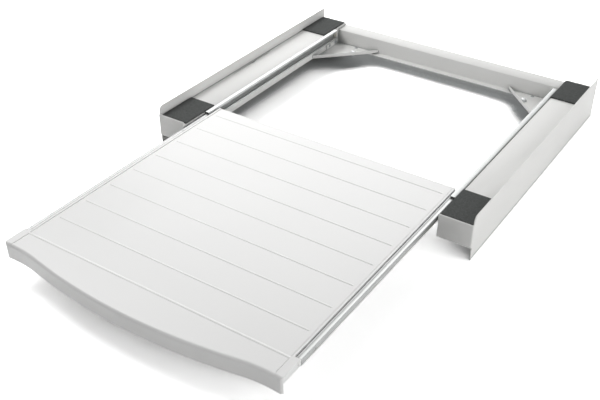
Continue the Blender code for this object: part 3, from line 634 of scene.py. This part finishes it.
# %% Ribs on top
def add_bar(shape, half, y, width, height):
    """Add a bar along X whose crown stands out of the shelf by a height, with a given width."""
    radius = ((width / 2) ** 2 + height ** 2) / (2 * height)
    made = bmesh.ops.create_uvsphere(shape, u_segments=48, v_segments=21, radius=radius)["verts"]
    lay_down = Matrix.Rotation(math.pi / 2, 4, "Y")
    reach = half - width / 2
    for vert in made:
        vert.co = lay_down @ vert.co
        vert.co += Vector((math.copysign(reach, vert.co.x), y, tray_level + height - radius))


def dress_top(tray):
    """Cut a groove along each rim, and join the ribs, the foremost one across the full width."""
    grooves = bmesh.new()
    near = rim_inner - GROOVE_GAP
    for side in (-1, 1):
        start = (side * near, corner_y + GROOVE_FRONT, tray_level + RIM_HEIGHT)
        end = (side * (near - GROOVE_WIDTH), rear_y + OVERRUN, tray_level - GROOVE_DEPTH)
        add_box(grooves, start, end)
    join_or_cut(tray, grooves, "DIFFERENCE")
    front = corner_y + RIB_FRONT
    cross = bmesh.new()
    add_bar(cross, front_half, front, RIB_CROSS_WIDTH, RIB_CROSS_HEIGHT)
    join_or_cut(tray, cross, "UNION")
    for index in range(1, RIB_COUNT + 1):
        bar = bmesh.new()
        add_bar(bar, rim_inner - RIB_END, front + index * rib_pitch, RIB_WIDTH, RIB_HEIGHT)
        join_or_cut(tray, bar, "UNION")


dress_top(shelf)
print("shelf faces", len(shelf.data.polygons))

# %% [markdown]
# ## Folded sheets
#
# The slides are rolled from strip.  Their section is a line with rounded folds, given a thickness,
# and drawn out along Y.  The solids have the same section with two facets to a fold.  Here each
# fold is an arc of its own, so the light runs round it smoothly.


# %% Section of a folded strip
def round_folds(points, radius, steps):
    """Replace each inner corner of a line by an arc of a radius."""
    points = [Vector(point) for point in points]
    result = [points[0]]
    for before, corner, after in zip(points, points[1:], points[2:]):
        inward = (before - corner).normalized()
        outward = (after - corner).normalized()
        half = inward.angle(outward) / 2
        reach = min(radius / math.tan(half), (before - corner).length / 2, (after - corner).length / 2)
        centre = corner + (inward + outward).normalized() * reach / math.cos(half)
        first = corner + inward * reach - centre
        turn = first.angle_signed(corner + outward * reach - centre)
        for step in range(steps + 1):
            result.append(centre + Matrix.Rotation(-turn * step / steps, 2) @ first)
    return result + [points[-1]]


def thicken(line, thickness):
    """Closed outline at half a thickness to both sides of a line."""
    sides = ([], [])
    for index, point in enumerate(line):
        before = line[max(index - 1, 0)]
        after = line[min(index + 1, len(line) - 1)]
        along = (after - before).normalized()
        normal = Vector((-along.y, along.x)) * thickness / 2
        sides[0].append(point + normal)
        sides[1].append(point - normal)
    return sides[0] + sides[1][::-1]


def fold_strip(line, fold, steps, thickness, low, high, side):
    """Shape of a strip: a line in X and Z with rounded folds, drawn out along Y on one side."""
    outline = thicken(round_folds(line, fold, steps), thickness)
    shape = bmesh.new()
    extrude(shape, [(side * point.x, low.y, point.y) for point in outline], (0, high.y - low.y, 0))
    return shape


print("fold helper ready")

# %% [markdown]
# ## Telescopic slides
#
# Each slide has a fixed member on the channel and a moving member on the shelf, with balls between
# them.  The balls run in races pressed into the flanges, which show as shallow grooves.  Bought
# slides have slots along the back for other machines, and cones pressed in for their screws.

# %% Sizes of the slides
STRIP = 1.0 * MILLIMETRE
STRIP_FOLD = 1.3 * MILLIMETRE
RACE_DEPTH = 0.4 * MILLIMETRE
RACE_SHARES = (0.18, 0.34, 0.62, 0.80)
LIP = 3.0 * MILLIMETRE

HEAD_RADIUS = 2.8 * MILLIMETRE
SHANK_RADIUS = 1.6 * MILLIMETRE
SUNK = 0.1 * MILLIMETRE
HOLE_PLAY = 0.15 * MILLIMETRE
SCREWS_PER_MEMBER = 3
SLOT_RADIUS = 1.8 * MILLIMETRE
SLOT_HALF = 4 * MILLIMETRE
SLOT_SHARES = (0.14, 0.30, 0.42, 0.60, 0.72, 0.86)

slide_middle = (outer_low.z + outer_high.z) / 2
print("slide level", round(slide_middle, 5), "height", round(outer_high.z - outer_low.z, 5))


# %% Sunk holes
def sink_holes(member, row, face, side, inward):
    """Cut the cones for a row of screws, found by the name of their solids, into a sheet's face."""
    wide = HEAD_RADIUS + SUNK + HOLE_PLAY
    narrow = SHANK_RADIUS + HOLE_PLAY
    cones = bmesh.new()
    for number in range(1, SCREWS_PER_MEMBER + 1):
        low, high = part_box(f"{row}_{number}")
        place = (side * face, (low.y + high.y) / 2, slide_middle)
        depth = wide - narrow
        outline = [(0, STRIP), (wide + STRIP, STRIP), (wide, 0), (narrow, -depth), (narrow, -2 * STRIP),
                   (0, -2 * STRIP)]
        add_turned(cones, outline, place, (-side * inward, 0, 0))
    join_or_cut(member, cones, "DIFFERENCE")


print("cone", round(HEAD_RADIUS + SUNK + HOLE_PLAY, 5), "to", round(SHANK_RADIUS + HOLE_PLAY, 5))


# %% Fixed members
def fixed_member(name, side):
    """Fixed slide member: back, two flanges and turned-in lips, with slots and sunk holes."""
    back = outer_high.x - STRIP / 2
    mouth = outer_low.x + STRIP / 2
    top = outer_high.z - STRIP / 2
    bottom = outer_low.z + STRIP / 2
    line = [(mouth, top - LIP + STRIP / 2), (mouth, top), (back, top), (back, bottom), (mouth, bottom),
            (mouth, bottom + LIP - STRIP / 2)]
    shape = fold_strip(line, STRIP_FOLD, 5, STRIP, outer_low, outer_high, side)
    member = place_piece("fixed_slide_" + name, shape, ZINC_STRIP, "frame",
                         ["slide_outer_" + name])
    slots = bmesh.new()
    inner = side * (outer_high.x - 2 * STRIP)
    for share in SLOT_SHARES:
        middle = outer_low.y + share * (outer_high.y - outer_low.y)
        line = arc_points((middle - SLOT_HALF, slide_middle), SLOT_RADIUS, 90, 270, steps=8)
        line += arc_points((middle + SLOT_HALF, slide_middle), SLOT_RADIUS, 270, 450, steps=8)
        extrude(slots, [(inner, y, z) for y, z in line], (side * 4 * STRIP, 0, 0))
    join_or_cut(member, slots, "DIFFERENCE")
    sink_holes(member, "slide_screw_" + name, outer_high.x - STRIP, side, 1)
    smooth_by_angle(member, degrees=40)
    return member


make_both(fixed_member)


# %% Moving members
def moving_member(name, side):
    """Moving slide member, closed on its outer side, with a race along each flange."""
    tip = runner_low.x
    back = runner_high.x - STRIP / 2
    top = runner_high.z - STRIP / 2
    start, sunk, risen, end = [tip + share * (back - tip) for share in RACE_SHARES]
    race = [(tip, top), (start, top), (sunk, top - RACE_DEPTH), (risen, top - RACE_DEPTH), (end, top),
            (back, top)]
    line = race + [(x, 2 * slide_middle - z) for x, z in reversed(race)]
    shape = fold_strip(line, STRIP_FOLD, 4, STRIP, runner_low, runner_high, side)
    member = place_piece("moving_slide_" + name, shape, SHADE_DARKENED_ZINC, "shelf",
                         ["slide_runner_" + name])
    sink_holes(member, "shelf_screw_" + name, runner_high.x, side, -1)
    smooth_by_angle(member, degrees=40)
    return member


make_both(moving_member)

# %% [markdown]
# The moving members are screwed to bosses on the shelf's sides.  A boss reaches into the hollow of
# the member up to its web.  Its edges are rounded so that the moulding leaves the tool.

# %% Bosses on the sides of the shelf
BOSS_LENGTH = 12 * MILLIMETRE
BOSS_HEIGHT = 6.6 * MILLIMETRE
BOSS_GAP = 0.3 * MILLIMETRE
BOSS_ROUND = 0.8 * MILLIMETRE
PILOT_RADIUS = 1.9 * MILLIMETRE


def join_bosses(tray):
    """Join the bosses onto the shelf's sides and drill them for the screws."""
    bosses = bmesh.new()
    pilots = bmesh.new()
    inner = body_half - WALL / 2
    outer = runner_high.x - STRIP - BOSS_GAP
    for label, side in SIDES:
        for number in range(1, SCREWS_PER_MEMBER + 1):
            low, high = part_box(f"shelf_screw_{label}_{number}")
            y = (low.y + high.y) / 2
            add_box(bosses, (side * inner, y - BOSS_LENGTH / 2, slide_middle - BOSS_HEIGHT / 2),
                    (side * outer, y + BOSS_LENGTH / 2, slide_middle + BOSS_HEIGHT / 2))
            start = body_half - WALL - OVERRUN
            end = outer + STRIP
            outline = [(0, start), (PILOT_RADIUS, start), (PILOT_RADIUS, end), (0, end)]
            add_turned(pilots, outline, (0, y, slide_middle), (side, 0, 0), steps=20)
    round_edges(bosses, BOSS_ROUND, segments=2)
    join_or_cut(tray, bosses, "UNION")
    join_or_cut(tray, pilots, "DIFFERENCE")


join_bosses(shelf)
smooth_by_angle(shelf, degrees=32)
print("shelf faces", len(shelf.data.polygons))

# %% [markdown]
# ## Countersunk screws
#
# The screws are turned and rolled from steel wire and zinc plated.  Half of their outline is
# revolved round the axis: a flat head on a cone, then the thread, drawn as rings because it is
# hidden in its hole, then the point.  Two crossed wedges cut the cross recess, one after the other,
# because a cutter that overlaps itself can lose the whole screw.  One screw is made upright and
# copied to all twelve places.

# %% One screw
SCREW_LENGTH = 6.5 * MILLIMETRE
HEAD_EDGE = 0.1 * MILLIMETRE
THREAD_PITCH = 0.8 * MILLIMETRE
THREAD_DEPTH = 0.25 * MILLIMETRE
RECESS_REACH = 3.2 * MILLIMETRE
RECESS_WIDTH = 0.75 * MILLIMETRE
RECESS_DEPTH = 1.1 * MILLIMETRE


def thread_rings(radius, start, end):
    """Outline points of a thread on a shank, from one height down to another."""
    count = int((start - end) / THREAD_PITCH)
    points = []
    for turn in range(count):
        crest = start - turn * THREAD_PITCH
        points += [(radius, crest), (radius - THREAD_DEPTH, crest - THREAD_PITCH / 2)]
    return points + [(radius, start - count * THREAD_PITCH)]


def cross_recess(reach, width, depth, top):
    """Two crossed wedges, to cut one after the other, that get narrower and shorter downwards."""
    wedges = []
    for length, breadth in ((reach, width), (width, reach)):
        wedge = bmesh.new()
        rim = [(-length / 2, -breadth / 2), (length / 2, -breadth / 2), (length / 2, breadth / 2),
               (-length / 2, breadth / 2)]
        rows = [[wedge.verts.new((x * share, y * share, level)) for x, y in rim]
                for share, level in ((1, top + depth), (1, top), (1 / 2, top - depth))]
        add_skin(wedge, [row + row[:1] for row in rows])
        wedge.faces.new(rows[0])
        wedge.faces.new(rows[-1])
        bmesh.ops.recalc_face_normals(wedge, faces=wedge.faces)
        wedges.append(wedge)
    return wedges


def screw_pattern():
    """Upright countersunk screw with its head's face at height zero."""
    neck = -HEAD_EDGE - (HEAD_RADIUS - SHANK_RADIUS)
    tip = -SCREW_LENGTH
    outline = [(0, 0), (HEAD_RADIUS - HEAD_EDGE, 0), (HEAD_RADIUS, -HEAD_EDGE)]
    outline += thread_rings(SHANK_RADIUS, neck, tip + SHANK_RADIUS)
    outline += [(SHANK_RADIUS / 6, tip), (0, tip)]
    shape = bmesh.new()
    add_turned(shape, outline)
    recess = cross_recess(RECESS_REACH, RECESS_WIDTH, RECESS_DEPTH, 0)
    return keep_pattern("countersunk_screw", shape, recess)


SCREW = screw_pattern()
print("screw faces", len(SCREW.polygons))

# %% Screws of both slides
for label, sign in SIDES:
    for number in range(1, SCREWS_PER_MEMBER + 1):
        for row, facing, finish, body in (("slide_screw", -sign, ZINC_SCREW, "frame"),
                                          ("shelf_screw", sign, SHADE_DARKENED_ZINC, "shelf")):
            node = f"{row}_{label}_{number}"
            low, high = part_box(node)
            seat = (high.x if facing > 0 else low.x, (low.y + high.y) / 2, slide_middle)
            place_copy(SCREW, node, "_turned", seat, (facing, 0, 0), finish, body)
print("screws", 4 * SCREWS_PER_MEMBER)

# %% [markdown]
# ## Ball cages
#
# A cage keeps the balls apart.  It is a short U of thin strip between the two members, and every
# ball sits loose in a round hole in its flange.  The balls are hardened steel, ground round, so
# they are true spheres and shine more than the plated strip.

# %% Cages and balls
CAGE_SHEET = 0.45 * MILLIMETRE
CAGE_FOLD = 0.6 * MILLIMETRE
BALL_INSET = 1.5 * MILLIMETRE
BALL_PITCH = 8 * MILLIMETRE
BALLS_PER_ROW = 3
BALL_PLAY = 0.12 * MILLIMETRE

cage_low, cage_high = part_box("ball_cage_right")
ball_radius = (cage_high.z - cage_low.z - (outer_high.z - outer_low.z - 2 * STRIP + runner_high.z
                                           - runner_low.z) / 2) / 2
ball_level = cage_high.z - ball_radius
print("ball radius", round(ball_radius, 5), "level", round(ball_level, 5))


def make_cage(name, side):
    """Cage strip with round holes, and the balls in them as a piece of their own."""
    web = cage_high.x - CAGE_SHEET / 2
    line = [(cage_low.x, ball_level), (web, ball_level), (web, 2 * slide_middle - ball_level),
            (cage_low.x, 2 * slide_middle - ball_level)]
    strip = fold_strip(line, CAGE_FOLD, 5, CAGE_SHEET, cage_low, cage_high, side)
    cage = place_piece("cage_strip_" + name, strip, BEARING_STEEL, "ball_cages",
                       ["ball_cage_" + name])
    holes = bmesh.new()
    balls = bmesh.new()
    first = (cage_low.y + cage_high.y) / 2 - (BALLS_PER_ROW - 1) * BALL_PITCH / 2
    for index in range(BALLS_PER_ROW):
        for level in (ball_level, 2 * slide_middle - ball_level):
            place = Vector((side * (cage_low.x + BALL_INSET), first + index * BALL_PITCH, level))
            hole = ball_radius + BALL_PLAY
            outline = [(0, -STRIP), (hole, -STRIP), (hole, STRIP), (0, STRIP)]
            add_turned(holes, outline, place, steps=24)
            bmesh.ops.create_uvsphere(balls, u_segments=24, v_segments=16, radius=ball_radius,
                                      matrix=Matrix.Translation(place))
    join_or_cut(cage, holes, "DIFFERENCE")
    smooth_by_angle(cage, degrees=40)
    loose = place_piece("bearing_balls_" + name, balls, BALL_STEEL, "ball_cages")
    smooth_by_angle(loose, degrees=60)
    return cage


make_both(make_cage)

# %% [markdown]
# ## Buffers
#
# A small block of nylon closes the back end of each fixed member and stops the moving one softly.
# It has rounded edges, as every moulding has, and a round pip in the middle that takes the knock.

# %% Buffers
PIP_RADIUS = 2.3 * MILLIMETRE
PIP_HEIGHT = 0.6 * MILLIMETRE
PIP_SHARES = ((0.7, 0.9), (1, 0.4), (1, -1))
BUFFER_ROUND = 0.7 * MILLIMETRE


def make_buffer(node):
    """Rounded block in the place of its solid, with a pip on its front face."""
    low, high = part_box(node)
    front = low.y + PIP_HEIGHT
    block = bmesh.new()
    add_box(block, (low.x, front, low.z), high)
    round_edges(block, BUFFER_ROUND, segments=3)
    buffer = place_piece(node + "_moulded", block, NYLON, "frame", [node])
    pip = bmesh.new()
    rim = [(PIP_RADIUS * across, PIP_HEIGHT * up) for across, up in PIP_SHARES]
    outline = [(0, PIP_HEIGHT)] + rim + [(0, -PIP_HEIGHT)]
    add_turned(pip, outline, ((low.x + high.x) / 2, front, (low.z + high.z) / 2), (0, -1, 0))
    join_or_cut(buffer, pip, "UNION")
    smooth_by_angle(buffer, degrees=40)
    print(buffer.name, "faces", len(buffer.data.polygons))


for label, sign in SIDES:
    make_buffer("slide_buffer_" + label)

# %% [markdown]
# ## Foam pads
#
# A pad is a slab of foam, cut with a knife and stuck down.  Foam gives way at its rim, so the upper
# edge is rounder than the lower one, and its face is never dead flat.  A grid gives such a face: its
# lines lie close together near the rim, where the surface bends, and a smooth noise sinks each
# point by about a tenth of a millimetre at most.

# %% Pads
PAD_ROUND = 0.7 * MILLIMETRE
LOWER_ROUND = PAD_ROUND / 4
PAD_GRID = 3.0 * MILLIMETRE
PAD_LUMPS = 14 * MILLIMETRE
PAD_UNEVEN = 0.12 * MILLIMETRE
RIM_SHARES = (0, 0.06, 0.2, 0.45, 1)


def rim_spacing(low, high):
    """Places of grid lines across a pad, close together near both rims."""
    inner_low, inner_high = low + PAD_ROUND, high - PAD_ROUND
    count = round((inner_high - inner_low) / PAD_GRID)
    inner = [inner_low + (inner_high - inner_low) * step / count for step in range(1, count)]
    return ([low + PAD_ROUND * share for share in RIM_SHARES] + inner
            + [high - PAD_ROUND * share for share in reversed(RIM_SHARES)])


def rim_drop(value, low, high, radius):
    """How far a round rim lies below the face, from the distance to the nearer side."""
    inward = min((value - low) / PAD_ROUND, (high - value) / PAD_ROUND, 1)
    return radius * (1 - math.sqrt(1 - (1 - inward) ** 2))


def foam_pad(node, top_side):
    """Slab of foam with a soft rim on its free side and a slightly uneven face."""
    low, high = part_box(node)
    xs, ys = rim_spacing(low.x, high.x), rim_spacing(low.y, high.y)
    shape = bmesh.new()
    rims = []
    for free, radius in ((True, PAD_ROUND), (False, LOWER_ROUND)):
        grid = []
        for x in xs:
            grid.append([])
            for y in ys:
                drop = rim_drop(x, low.x, high.x, radius) + rim_drop(y, low.y, high.y, radius)
                depth = min(drop, radius)
                if free:
                    lump = noise.noise(Vector((x, y, low.z)) / PAD_LUMPS)
                    depth += PAD_UNEVEN * (1 + lump) / 2
                z = high.z - depth if free == top_side else low.z + depth
                grid[-1].append(shape.verts.new((x, y, z)))
        add_skin(shape, grid)
        rims.append(grid[0] + [row[-1] for row in grid[1:]] + grid[-1][-2::-1]
                    + [row[0] for row in grid[-2:0:-1]])
    add_skin(shape, [rim + rim[:1] for rim in rims])
    bmesh.ops.recalc_face_normals(shape, faces=shape.faces)
    pad = place_piece(node + "_foam", shape, FOAM, "frame", [node])
    smooth_by_angle(pad, degrees=60)
    return pad


for level in ("top", "bottom"):
    for end in ("front", "rear"):
        for label, sign in SIDES:
            made = foam_pad(f"{level}_pad_{end}_{label}", level == "top")
            print(made.name, "faces", len(made.data.polygons))

# %% [markdown]
# ## Coated sheets of the frame
#
# The plates, channels, gussets and the cross member keep their solids, which have the right shape.
# Powder builds up round edges, so a small bevel catches the light along each one.


# %% Coated sheets
SHEETS = ["side_plate", "side_channel", "corner_gusset"]
WELD_REACH = 0.01 * MILLIMETRE
COAT_ROUND = 0.25 * MILLIMETRE
EDGE_ANGLE = math.radians(50)


def coat_sheet(node):
    """Give a sheet its coat and soften its edges."""
    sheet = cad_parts[node]
    sheet.data.materials.clear()
    sheet.data.materials.append(POWDER_COAT)
    weld = sheet.modifiers.new("weld", "WELD")
    weld.merge_threshold = WELD_REACH
    soft = sheet.modifiers.new("edges", "BEVEL")
    soft.width = COAT_ROUND
    soft.segments = 2
    soft.limit_method = "ANGLE"
    soft.angle_limit = EDGE_ANGLE
    soft.harden_normals = True
    for polygon in sheet.data.polygons:
        polygon.use_smooth = True


for sheet_name in SHEETS:
    for label, sign in SIDES:
        coat_sheet(f"{sheet_name}_{label}")
coat_sheet("rear_cross_member")
print("coated", 2 * len(SHEETS) + 1, "sheets")

# %% [markdown]
# ## Rivets
#
# Blind rivets hold the gussets.  The head is a low dome with a small hole in the middle, where the
# pin broke off when the rivet was set.  Behind a wall the shank is swollen, and in the toe, where
# the machine below needs the room, it ends flush.

# %% Rivets
RIVET_HEAD = 3.2 * MILLIMETRE
RIVET_CROWN = 1.2 * MILLIMETRE
RIVET_RIM = 0.15 * MILLIMETRE
RIVET_SHANK = 1.6 * MILLIMETRE
PIN_RADIUS = 0.7 * MILLIMETRE
PIN_DEPTH = 0.2 * MILLIMETRE
TAPER_SHARE = 0.9
SWELL = 0.7 * MILLIMETRE
SWELL_START = 1.5 * MILLIMETRE
SWELL_FULL = 1.1 * MILLIMETRE
SWELL_END = 0.5 * MILLIMETRE


def rivet_pattern(length, swollen):
    """Upright blind rivet, its head resting on height zero."""
    rise = RIVET_CROWN - RIVET_RIM
    radius = (RIVET_HEAD ** 2 + rise ** 2) / (2 * rise)
    half = math.degrees(math.asin(RIVET_HEAD / radius))
    pin = math.degrees(math.asin(PIN_RADIUS / radius))
    outline = [(0, RIVET_CROWN - PIN_DEPTH), (PIN_RADIUS * TAPER_SHARE, RIVET_CROWN - PIN_DEPTH)]
    outline += arc_points((0, RIVET_CROWN - radius), radius, 90 - pin, 90 - half, steps=8)
    outline += [(RIVET_HEAD, 0), (RIVET_SHANK, 0)]
    if swollen:
        outline += [(RIVET_SHANK, SWELL_START - length), (RIVET_SHANK + SWELL, SWELL_FULL - length),
                    (RIVET_SHANK + SWELL, SWELL_END - length)]
    outline += [(RIVET_SHANK * TAPER_SHARE, -length), (0, -length)]
    shape = bmesh.new()
    add_turned(shape, outline)
    return keep_pattern("rivet", shape)


def set_rivet(node, direction, swollen):
    """Set a rivet in the place of its solid, with its head towards a direction."""
    low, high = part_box(node)
    direction = Vector(direction)
    length = abs((high - low).dot(direction)) - RIVET_CROWN
    seat = (low + high) / 2 + direction * (length - RIVET_CROWN) / 2
    place_copy(rivet_pattern(length, swollen), node, "_set", seat, direction, ZINC_SCREW, "frame")


for label, sign in SIDES:
    for number in (1, 2):
        set_rivet(f"gusset_wall_rivet_{label}_{number}", (-sign, 0, 0), swollen=True)
    set_rivet("gusset_toe_rivet_" + label, (0, 0, 1), swollen=False)
print("rivets", 3 * len(SIDES))

# %% [markdown]
# ## Clamp screws
#
# A round head screw with a loose washer stands in each gusset.  The head's shoulder is a quarter of
# an ellipse, and a groove parts it from the washer, whose edges are slightly rounded by stamping.

# %% Clamp screws
CLAMP_HEAD = 5.0 * MILLIMETRE
CLAMP_FLAT = 1.6 * MILLIMETRE
WASHER_RADIUS = 6.2 * MILLIMETRE
WASHER_HEIGHT = 1.1 * MILLIMETRE
WASHER_EDGE = 0.15 * MILLIMETRE
CLAMP_SHANK = 2.8 * MILLIMETRE
CLAMP_LENGTH = 5.5 * MILLIMETRE
CLAMP_SHOULDER = 0.6 * MILLIMETRE
CLAMP_RECESS = 3.6 * MILLIMETRE
CLAMP_SLOT = 0.8 * MILLIMETRE
CLAMP_DEPTH = 1.2 * MILLIMETRE


def clamp_pattern(top):
    """Upright round head screw with its washer's underside at height zero."""
    skirt = WASHER_HEIGHT + CLAMP_SHOULDER
    dome = arc_points((0, 0), 1, 90, 0, steps=8)
    outline = [(0, top)]
    for x, y in dome:
        outline.append((CLAMP_FLAT + (CLAMP_HEAD - CLAMP_FLAT) * x, skirt + (top - skirt) * y))
    outline += [(CLAMP_HEAD, WASHER_HEIGHT + WASHER_EDGE), (CLAMP_HEAD - 2 * WASHER_EDGE, WASHER_HEIGHT),
                (WASHER_RADIUS - WASHER_EDGE, WASHER_HEIGHT), (WASHER_RADIUS, WASHER_HEIGHT - WASHER_EDGE),
                (WASHER_RADIUS, WASHER_EDGE), (WASHER_RADIUS - WASHER_EDGE, 0)]
    outline += thread_rings(CLAMP_SHANK, 0, -CLAMP_LENGTH + THREAD_PITCH / 2)
    outline += [(CLAMP_SHANK - 2 * THREAD_DEPTH, -CLAMP_LENGTH), (0, -CLAMP_LENGTH)]
    shape = bmesh.new()
    add_turned(shape, outline, steps=48)
    return keep_pattern("clamp_screw", shape, cross_recess(CLAMP_RECESS, CLAMP_SLOT, CLAMP_DEPTH, top))


for label, sign in SIDES:
    node = "clamp_screw_" + label
    low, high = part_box(node)
    base = low.z + CLAMP_LENGTH
    seat = ((low.x + high.x) / 2, (low.y + high.y) / 2, base)
    place_copy(clamp_pattern(high.z - base), node, "_turned", seat, (0, 0, 1), ZINC_CLAMP, "frame")
print("clamp screws", len(SIDES))

# %% [markdown]
# ## Floor
#
# The object stands on white paper.  To the camera and in reflections the paper is drawn brighter
# than it lights the object, so that it reads as white except in the object's shadow, and further
# out it fades into the white surroundings.  Inside the frame little light gets in close under the
# folded edges.  An ambient occlusion node finds those places, and a painted shadow darkens the
# paper there, most of all in front of the cross member, which stands between the floor and the
# light from behind.  The paper is open from below, so that the underside can be looked at too.

# %% Floor
FLOOR_HALF = 2.0
SEEN_PAPER = (2.45, 2.45, 2.45, 1)
LIT_PAPER = (0.80, 0.80, 0.80, 1)
# painted shadow on the floor: reaches, thresholds and colours of the darkening inside the frame
SIDE_REACH = 54 * MILLIMETRE
CLOSED_AT_SIDES = (0.70, 0.30)
SIDE_PAINTED_SHADE = (0.43, 0.44, 0.445, 1)
REAR_REACH = 112 * MILLIMETRE
CLOSED_AT_REAR = (0.78, 0.56)
REAR_PAINTED_SHADE = (0.31, 0.32, 0.325, 1)
REAR_ZONE = 0.15
FADE_START = 0.9
FADE_END = 1.5
FLOOR_GAP = 0.1 * MILLIMETRE
FRAME_EDGE = 30 * MILLIMETRE


def combine(tree, operation, *sources):
    """Socket of what an operation makes of one or two sockets."""
    return add_node(tree, "ShaderNodeMath", dict(enumerate(sources)), operation=operation).outputs[0]


def mix_shaders(tree, factor, first, second):
    """Socket of a mix of two shaders' sockets."""
    return add_node(tree, "ShaderNodeMixShader", {0: factor, 1: first, 2: second}).outputs[0]


def seen_directly(tree):
    """Socket that is 1 for camera, glossy and transmission rays, and 0 for light that is scattered."""
    path = add_node(tree, "ShaderNodeLightPath").outputs
    seen = combine(tree, "MAXIMUM", path["Is Camera Ray"], path["Is Glossy Ray"])
    return combine(tree, "MAXIMUM", seen, path["Is Transmission Ray"])


def inside_frame(tree, place):
    """Socket that is 1 on the floor between the two plates and behind the frame's front end."""
    sideways = combine(tree, "ABSOLUTE", place["X"])
    between = smooth_step(tree, sideways, plate_high.x, (plate_high.x + channel_low.x) / 2)
    behind = smooth_step(tree, place["Y"], outer_low.y - FRAME_EDGE, outer_low.y + FRAME_EDGE)
    before = smooth_step(tree, place["Y"], plate_high.y + FRAME_EDGE, plate_high.y)
    return combine(tree, "MULTIPLY", combine(tree, "MULTIPLY", between, behind), before)


def shade_paper(tree, paper, where, reach, closed_at, tone):
    """Socket of the paper's colour with a painted shadow where little of the sky within a reach is open.
    """
    shaded = combine(tree, "MULTIPLY", closed_places(tree, reach, *closed_at), where)
    return blend(tree, paper, tone, shaded)


def make_floor_paper():
    """White paper that looks brighter than it lights the object, with a painted shadow in closely shaded
    places.
    """
    material = bpy.data.materials.new("floor_paper")
    material.use_nodes = True
    tree = material.node_tree
    tree.nodes.clear()
    place = add_node(tree, "ShaderNodeTexCoord").outputs["Object"]
    axes = add_node(tree, "ShaderNodeSeparateXYZ", {0: place}).outputs
    inside = inside_frame(tree, axes)
    near = smooth_step(tree, axes["Y"], plate_high.y - REAR_ZONE, plate_high.y - REAR_ZONE / 2)
    rear = combine(tree, "MULTIPLY", inside, near)
    paper = shade_paper(tree, SEEN_PAPER, inside, SIDE_REACH, CLOSED_AT_SIDES, SIDE_PAINTED_SHADE)
    paper = shade_paper(tree, paper, rear, REAR_REACH, CLOSED_AT_REAR, REAR_PAINTED_SHADE)
    bright = add_node(tree, "ShaderNodeBsdfDiffuse", {"Color": paper}).outputs[0]
    white = add_node(tree, "ShaderNodeEmission", {"Color": (1, 1, 1, 1), "Strength": 1.0})
    distance = add_node(tree, "ShaderNodeVectorMath", {0: place}, operation="LENGTH")
    far = smooth_step(tree, distance.outputs["Value"], FADE_START, FADE_END)
    seen = mix_shaders(tree, far, bright, white.outputs[0])
    plain = add_node(tree, "ShaderNodeBsdfDiffuse", {"Color": LIT_PAPER})
    paper = mix_shaders(tree, seen_directly(tree), plain.outputs[0], seen)
    back_face = add_node(tree, "ShaderNodeNewGeometry").outputs["Backfacing"]
    camera_ray = add_node(tree, "ShaderNodeLightPath").outputs["Is Camera Ray"]
    from_below = combine(tree, "MULTIPLY", back_face, camera_ray)
    clear = add_node(tree, "ShaderNodeBsdfTransparent").outputs[0]
    paper = mix_shaders(tree, from_below, paper, clear)
    add_node(tree, "ShaderNodeOutputMaterial", {"Surface": paper})
    return material


sheet = bmesh.new()
bmesh.ops.create_grid(sheet, x_segments=1, y_segments=1, size=FLOOR_HALF)
floor = to_object("floor", sheet)
floor.location = (0, 0, cad_low.z - FLOOR_GAP)
floor.data.materials.append(make_floor_paper())
floor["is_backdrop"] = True
print("floor at", round(floor.location.z, 5))

# %% [markdown]
# ## Light
#
# Six soft lamps stand round the object, as in a small photo studio.  The key is high on the left and
# a wide soft box stands behind it, so that the far part of the shelf and the ribs shine.  On the
# right a fill is helped by a long low board of light, which brightens the outer face of the right
# plate and is so low that it hardly reaches the wall under the left slide.  A fill on the front
# right and a weak low lamp on the front left open the shadows on the lip and the front tabs.

# %% World and lamps
WORLD_STRENGTH = 0.14
LAMPS = (
    ("key_left", (-1.5, 0.2, 1.9), (1.0, 1.0), 22.5),
    ("soft_box_behind", (-1.4, 2.2, 1.5), (2.0, 2.0), 44.0),
    ("low_board_right", (2.4, 0.2, 0.16), (1.6, 0.26), 8.0),
    ("fill_right", (2.4, 0.2, 1.2), (1.6, 1.6), 15.0),
    ("fill_front", (2.0, -1.6, 1.8), (1.6, 1.6), 16.5),
    ("low_front_left", (-1.6, -1.8, 0.9), (1.2, 1.2), 3.0),
)


def make_world():
    """White surroundings to the camera and in reflections, and only a little light of their own."""
    world = bpy.data.worlds.new("studio")
    world.use_nodes = True
    tree = world.node_tree
    tree.nodes.clear()
    light, white = [add_node(tree, "ShaderNodeBackground", {"Color": (1, 1, 1, 1), "Strength": strength})
                    for strength in (WORLD_STRENGTH, 1.0)]
    mixed = mix_shaders(tree, seen_directly(tree), light.outputs[0], white.outputs[0])
    add_node(tree, "ShaderNodeOutputWorld", {"Surface": mixed})
    bpy.context.scene.world = world


def add_lamp(name, place, size, power):
    """Add a soft lamp of a width and a height that faces the middle of the object."""
    data = bpy.data.lights.new(name, "AREA")
    data.shape = "RECTANGLE"
    data.size, data.size_y = size
    data.energy = power
    lamp = bpy.data.objects.new(name, data)
    lamp.location = place
    middle = (cad_low + cad_high) / 2
    lamp.rotation_euler = (middle - Vector(place)).to_track_quat("-Z", "Y").to_euler()
    bpy.context.scene.collection.objects.link(lamp)


make_world()
for name, place, size, power in LAMPS:
    add_lamp(name, place, size, power)
bpy.context.scene.view_settings.view_transform = "Standard"
print("lamps", len(LAMPS), "watts", sum(lamp[3] for lamp in LAMPS))

# %% Finish
low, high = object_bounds()
print("finished box from", tuple(low), "to", tuple(high))
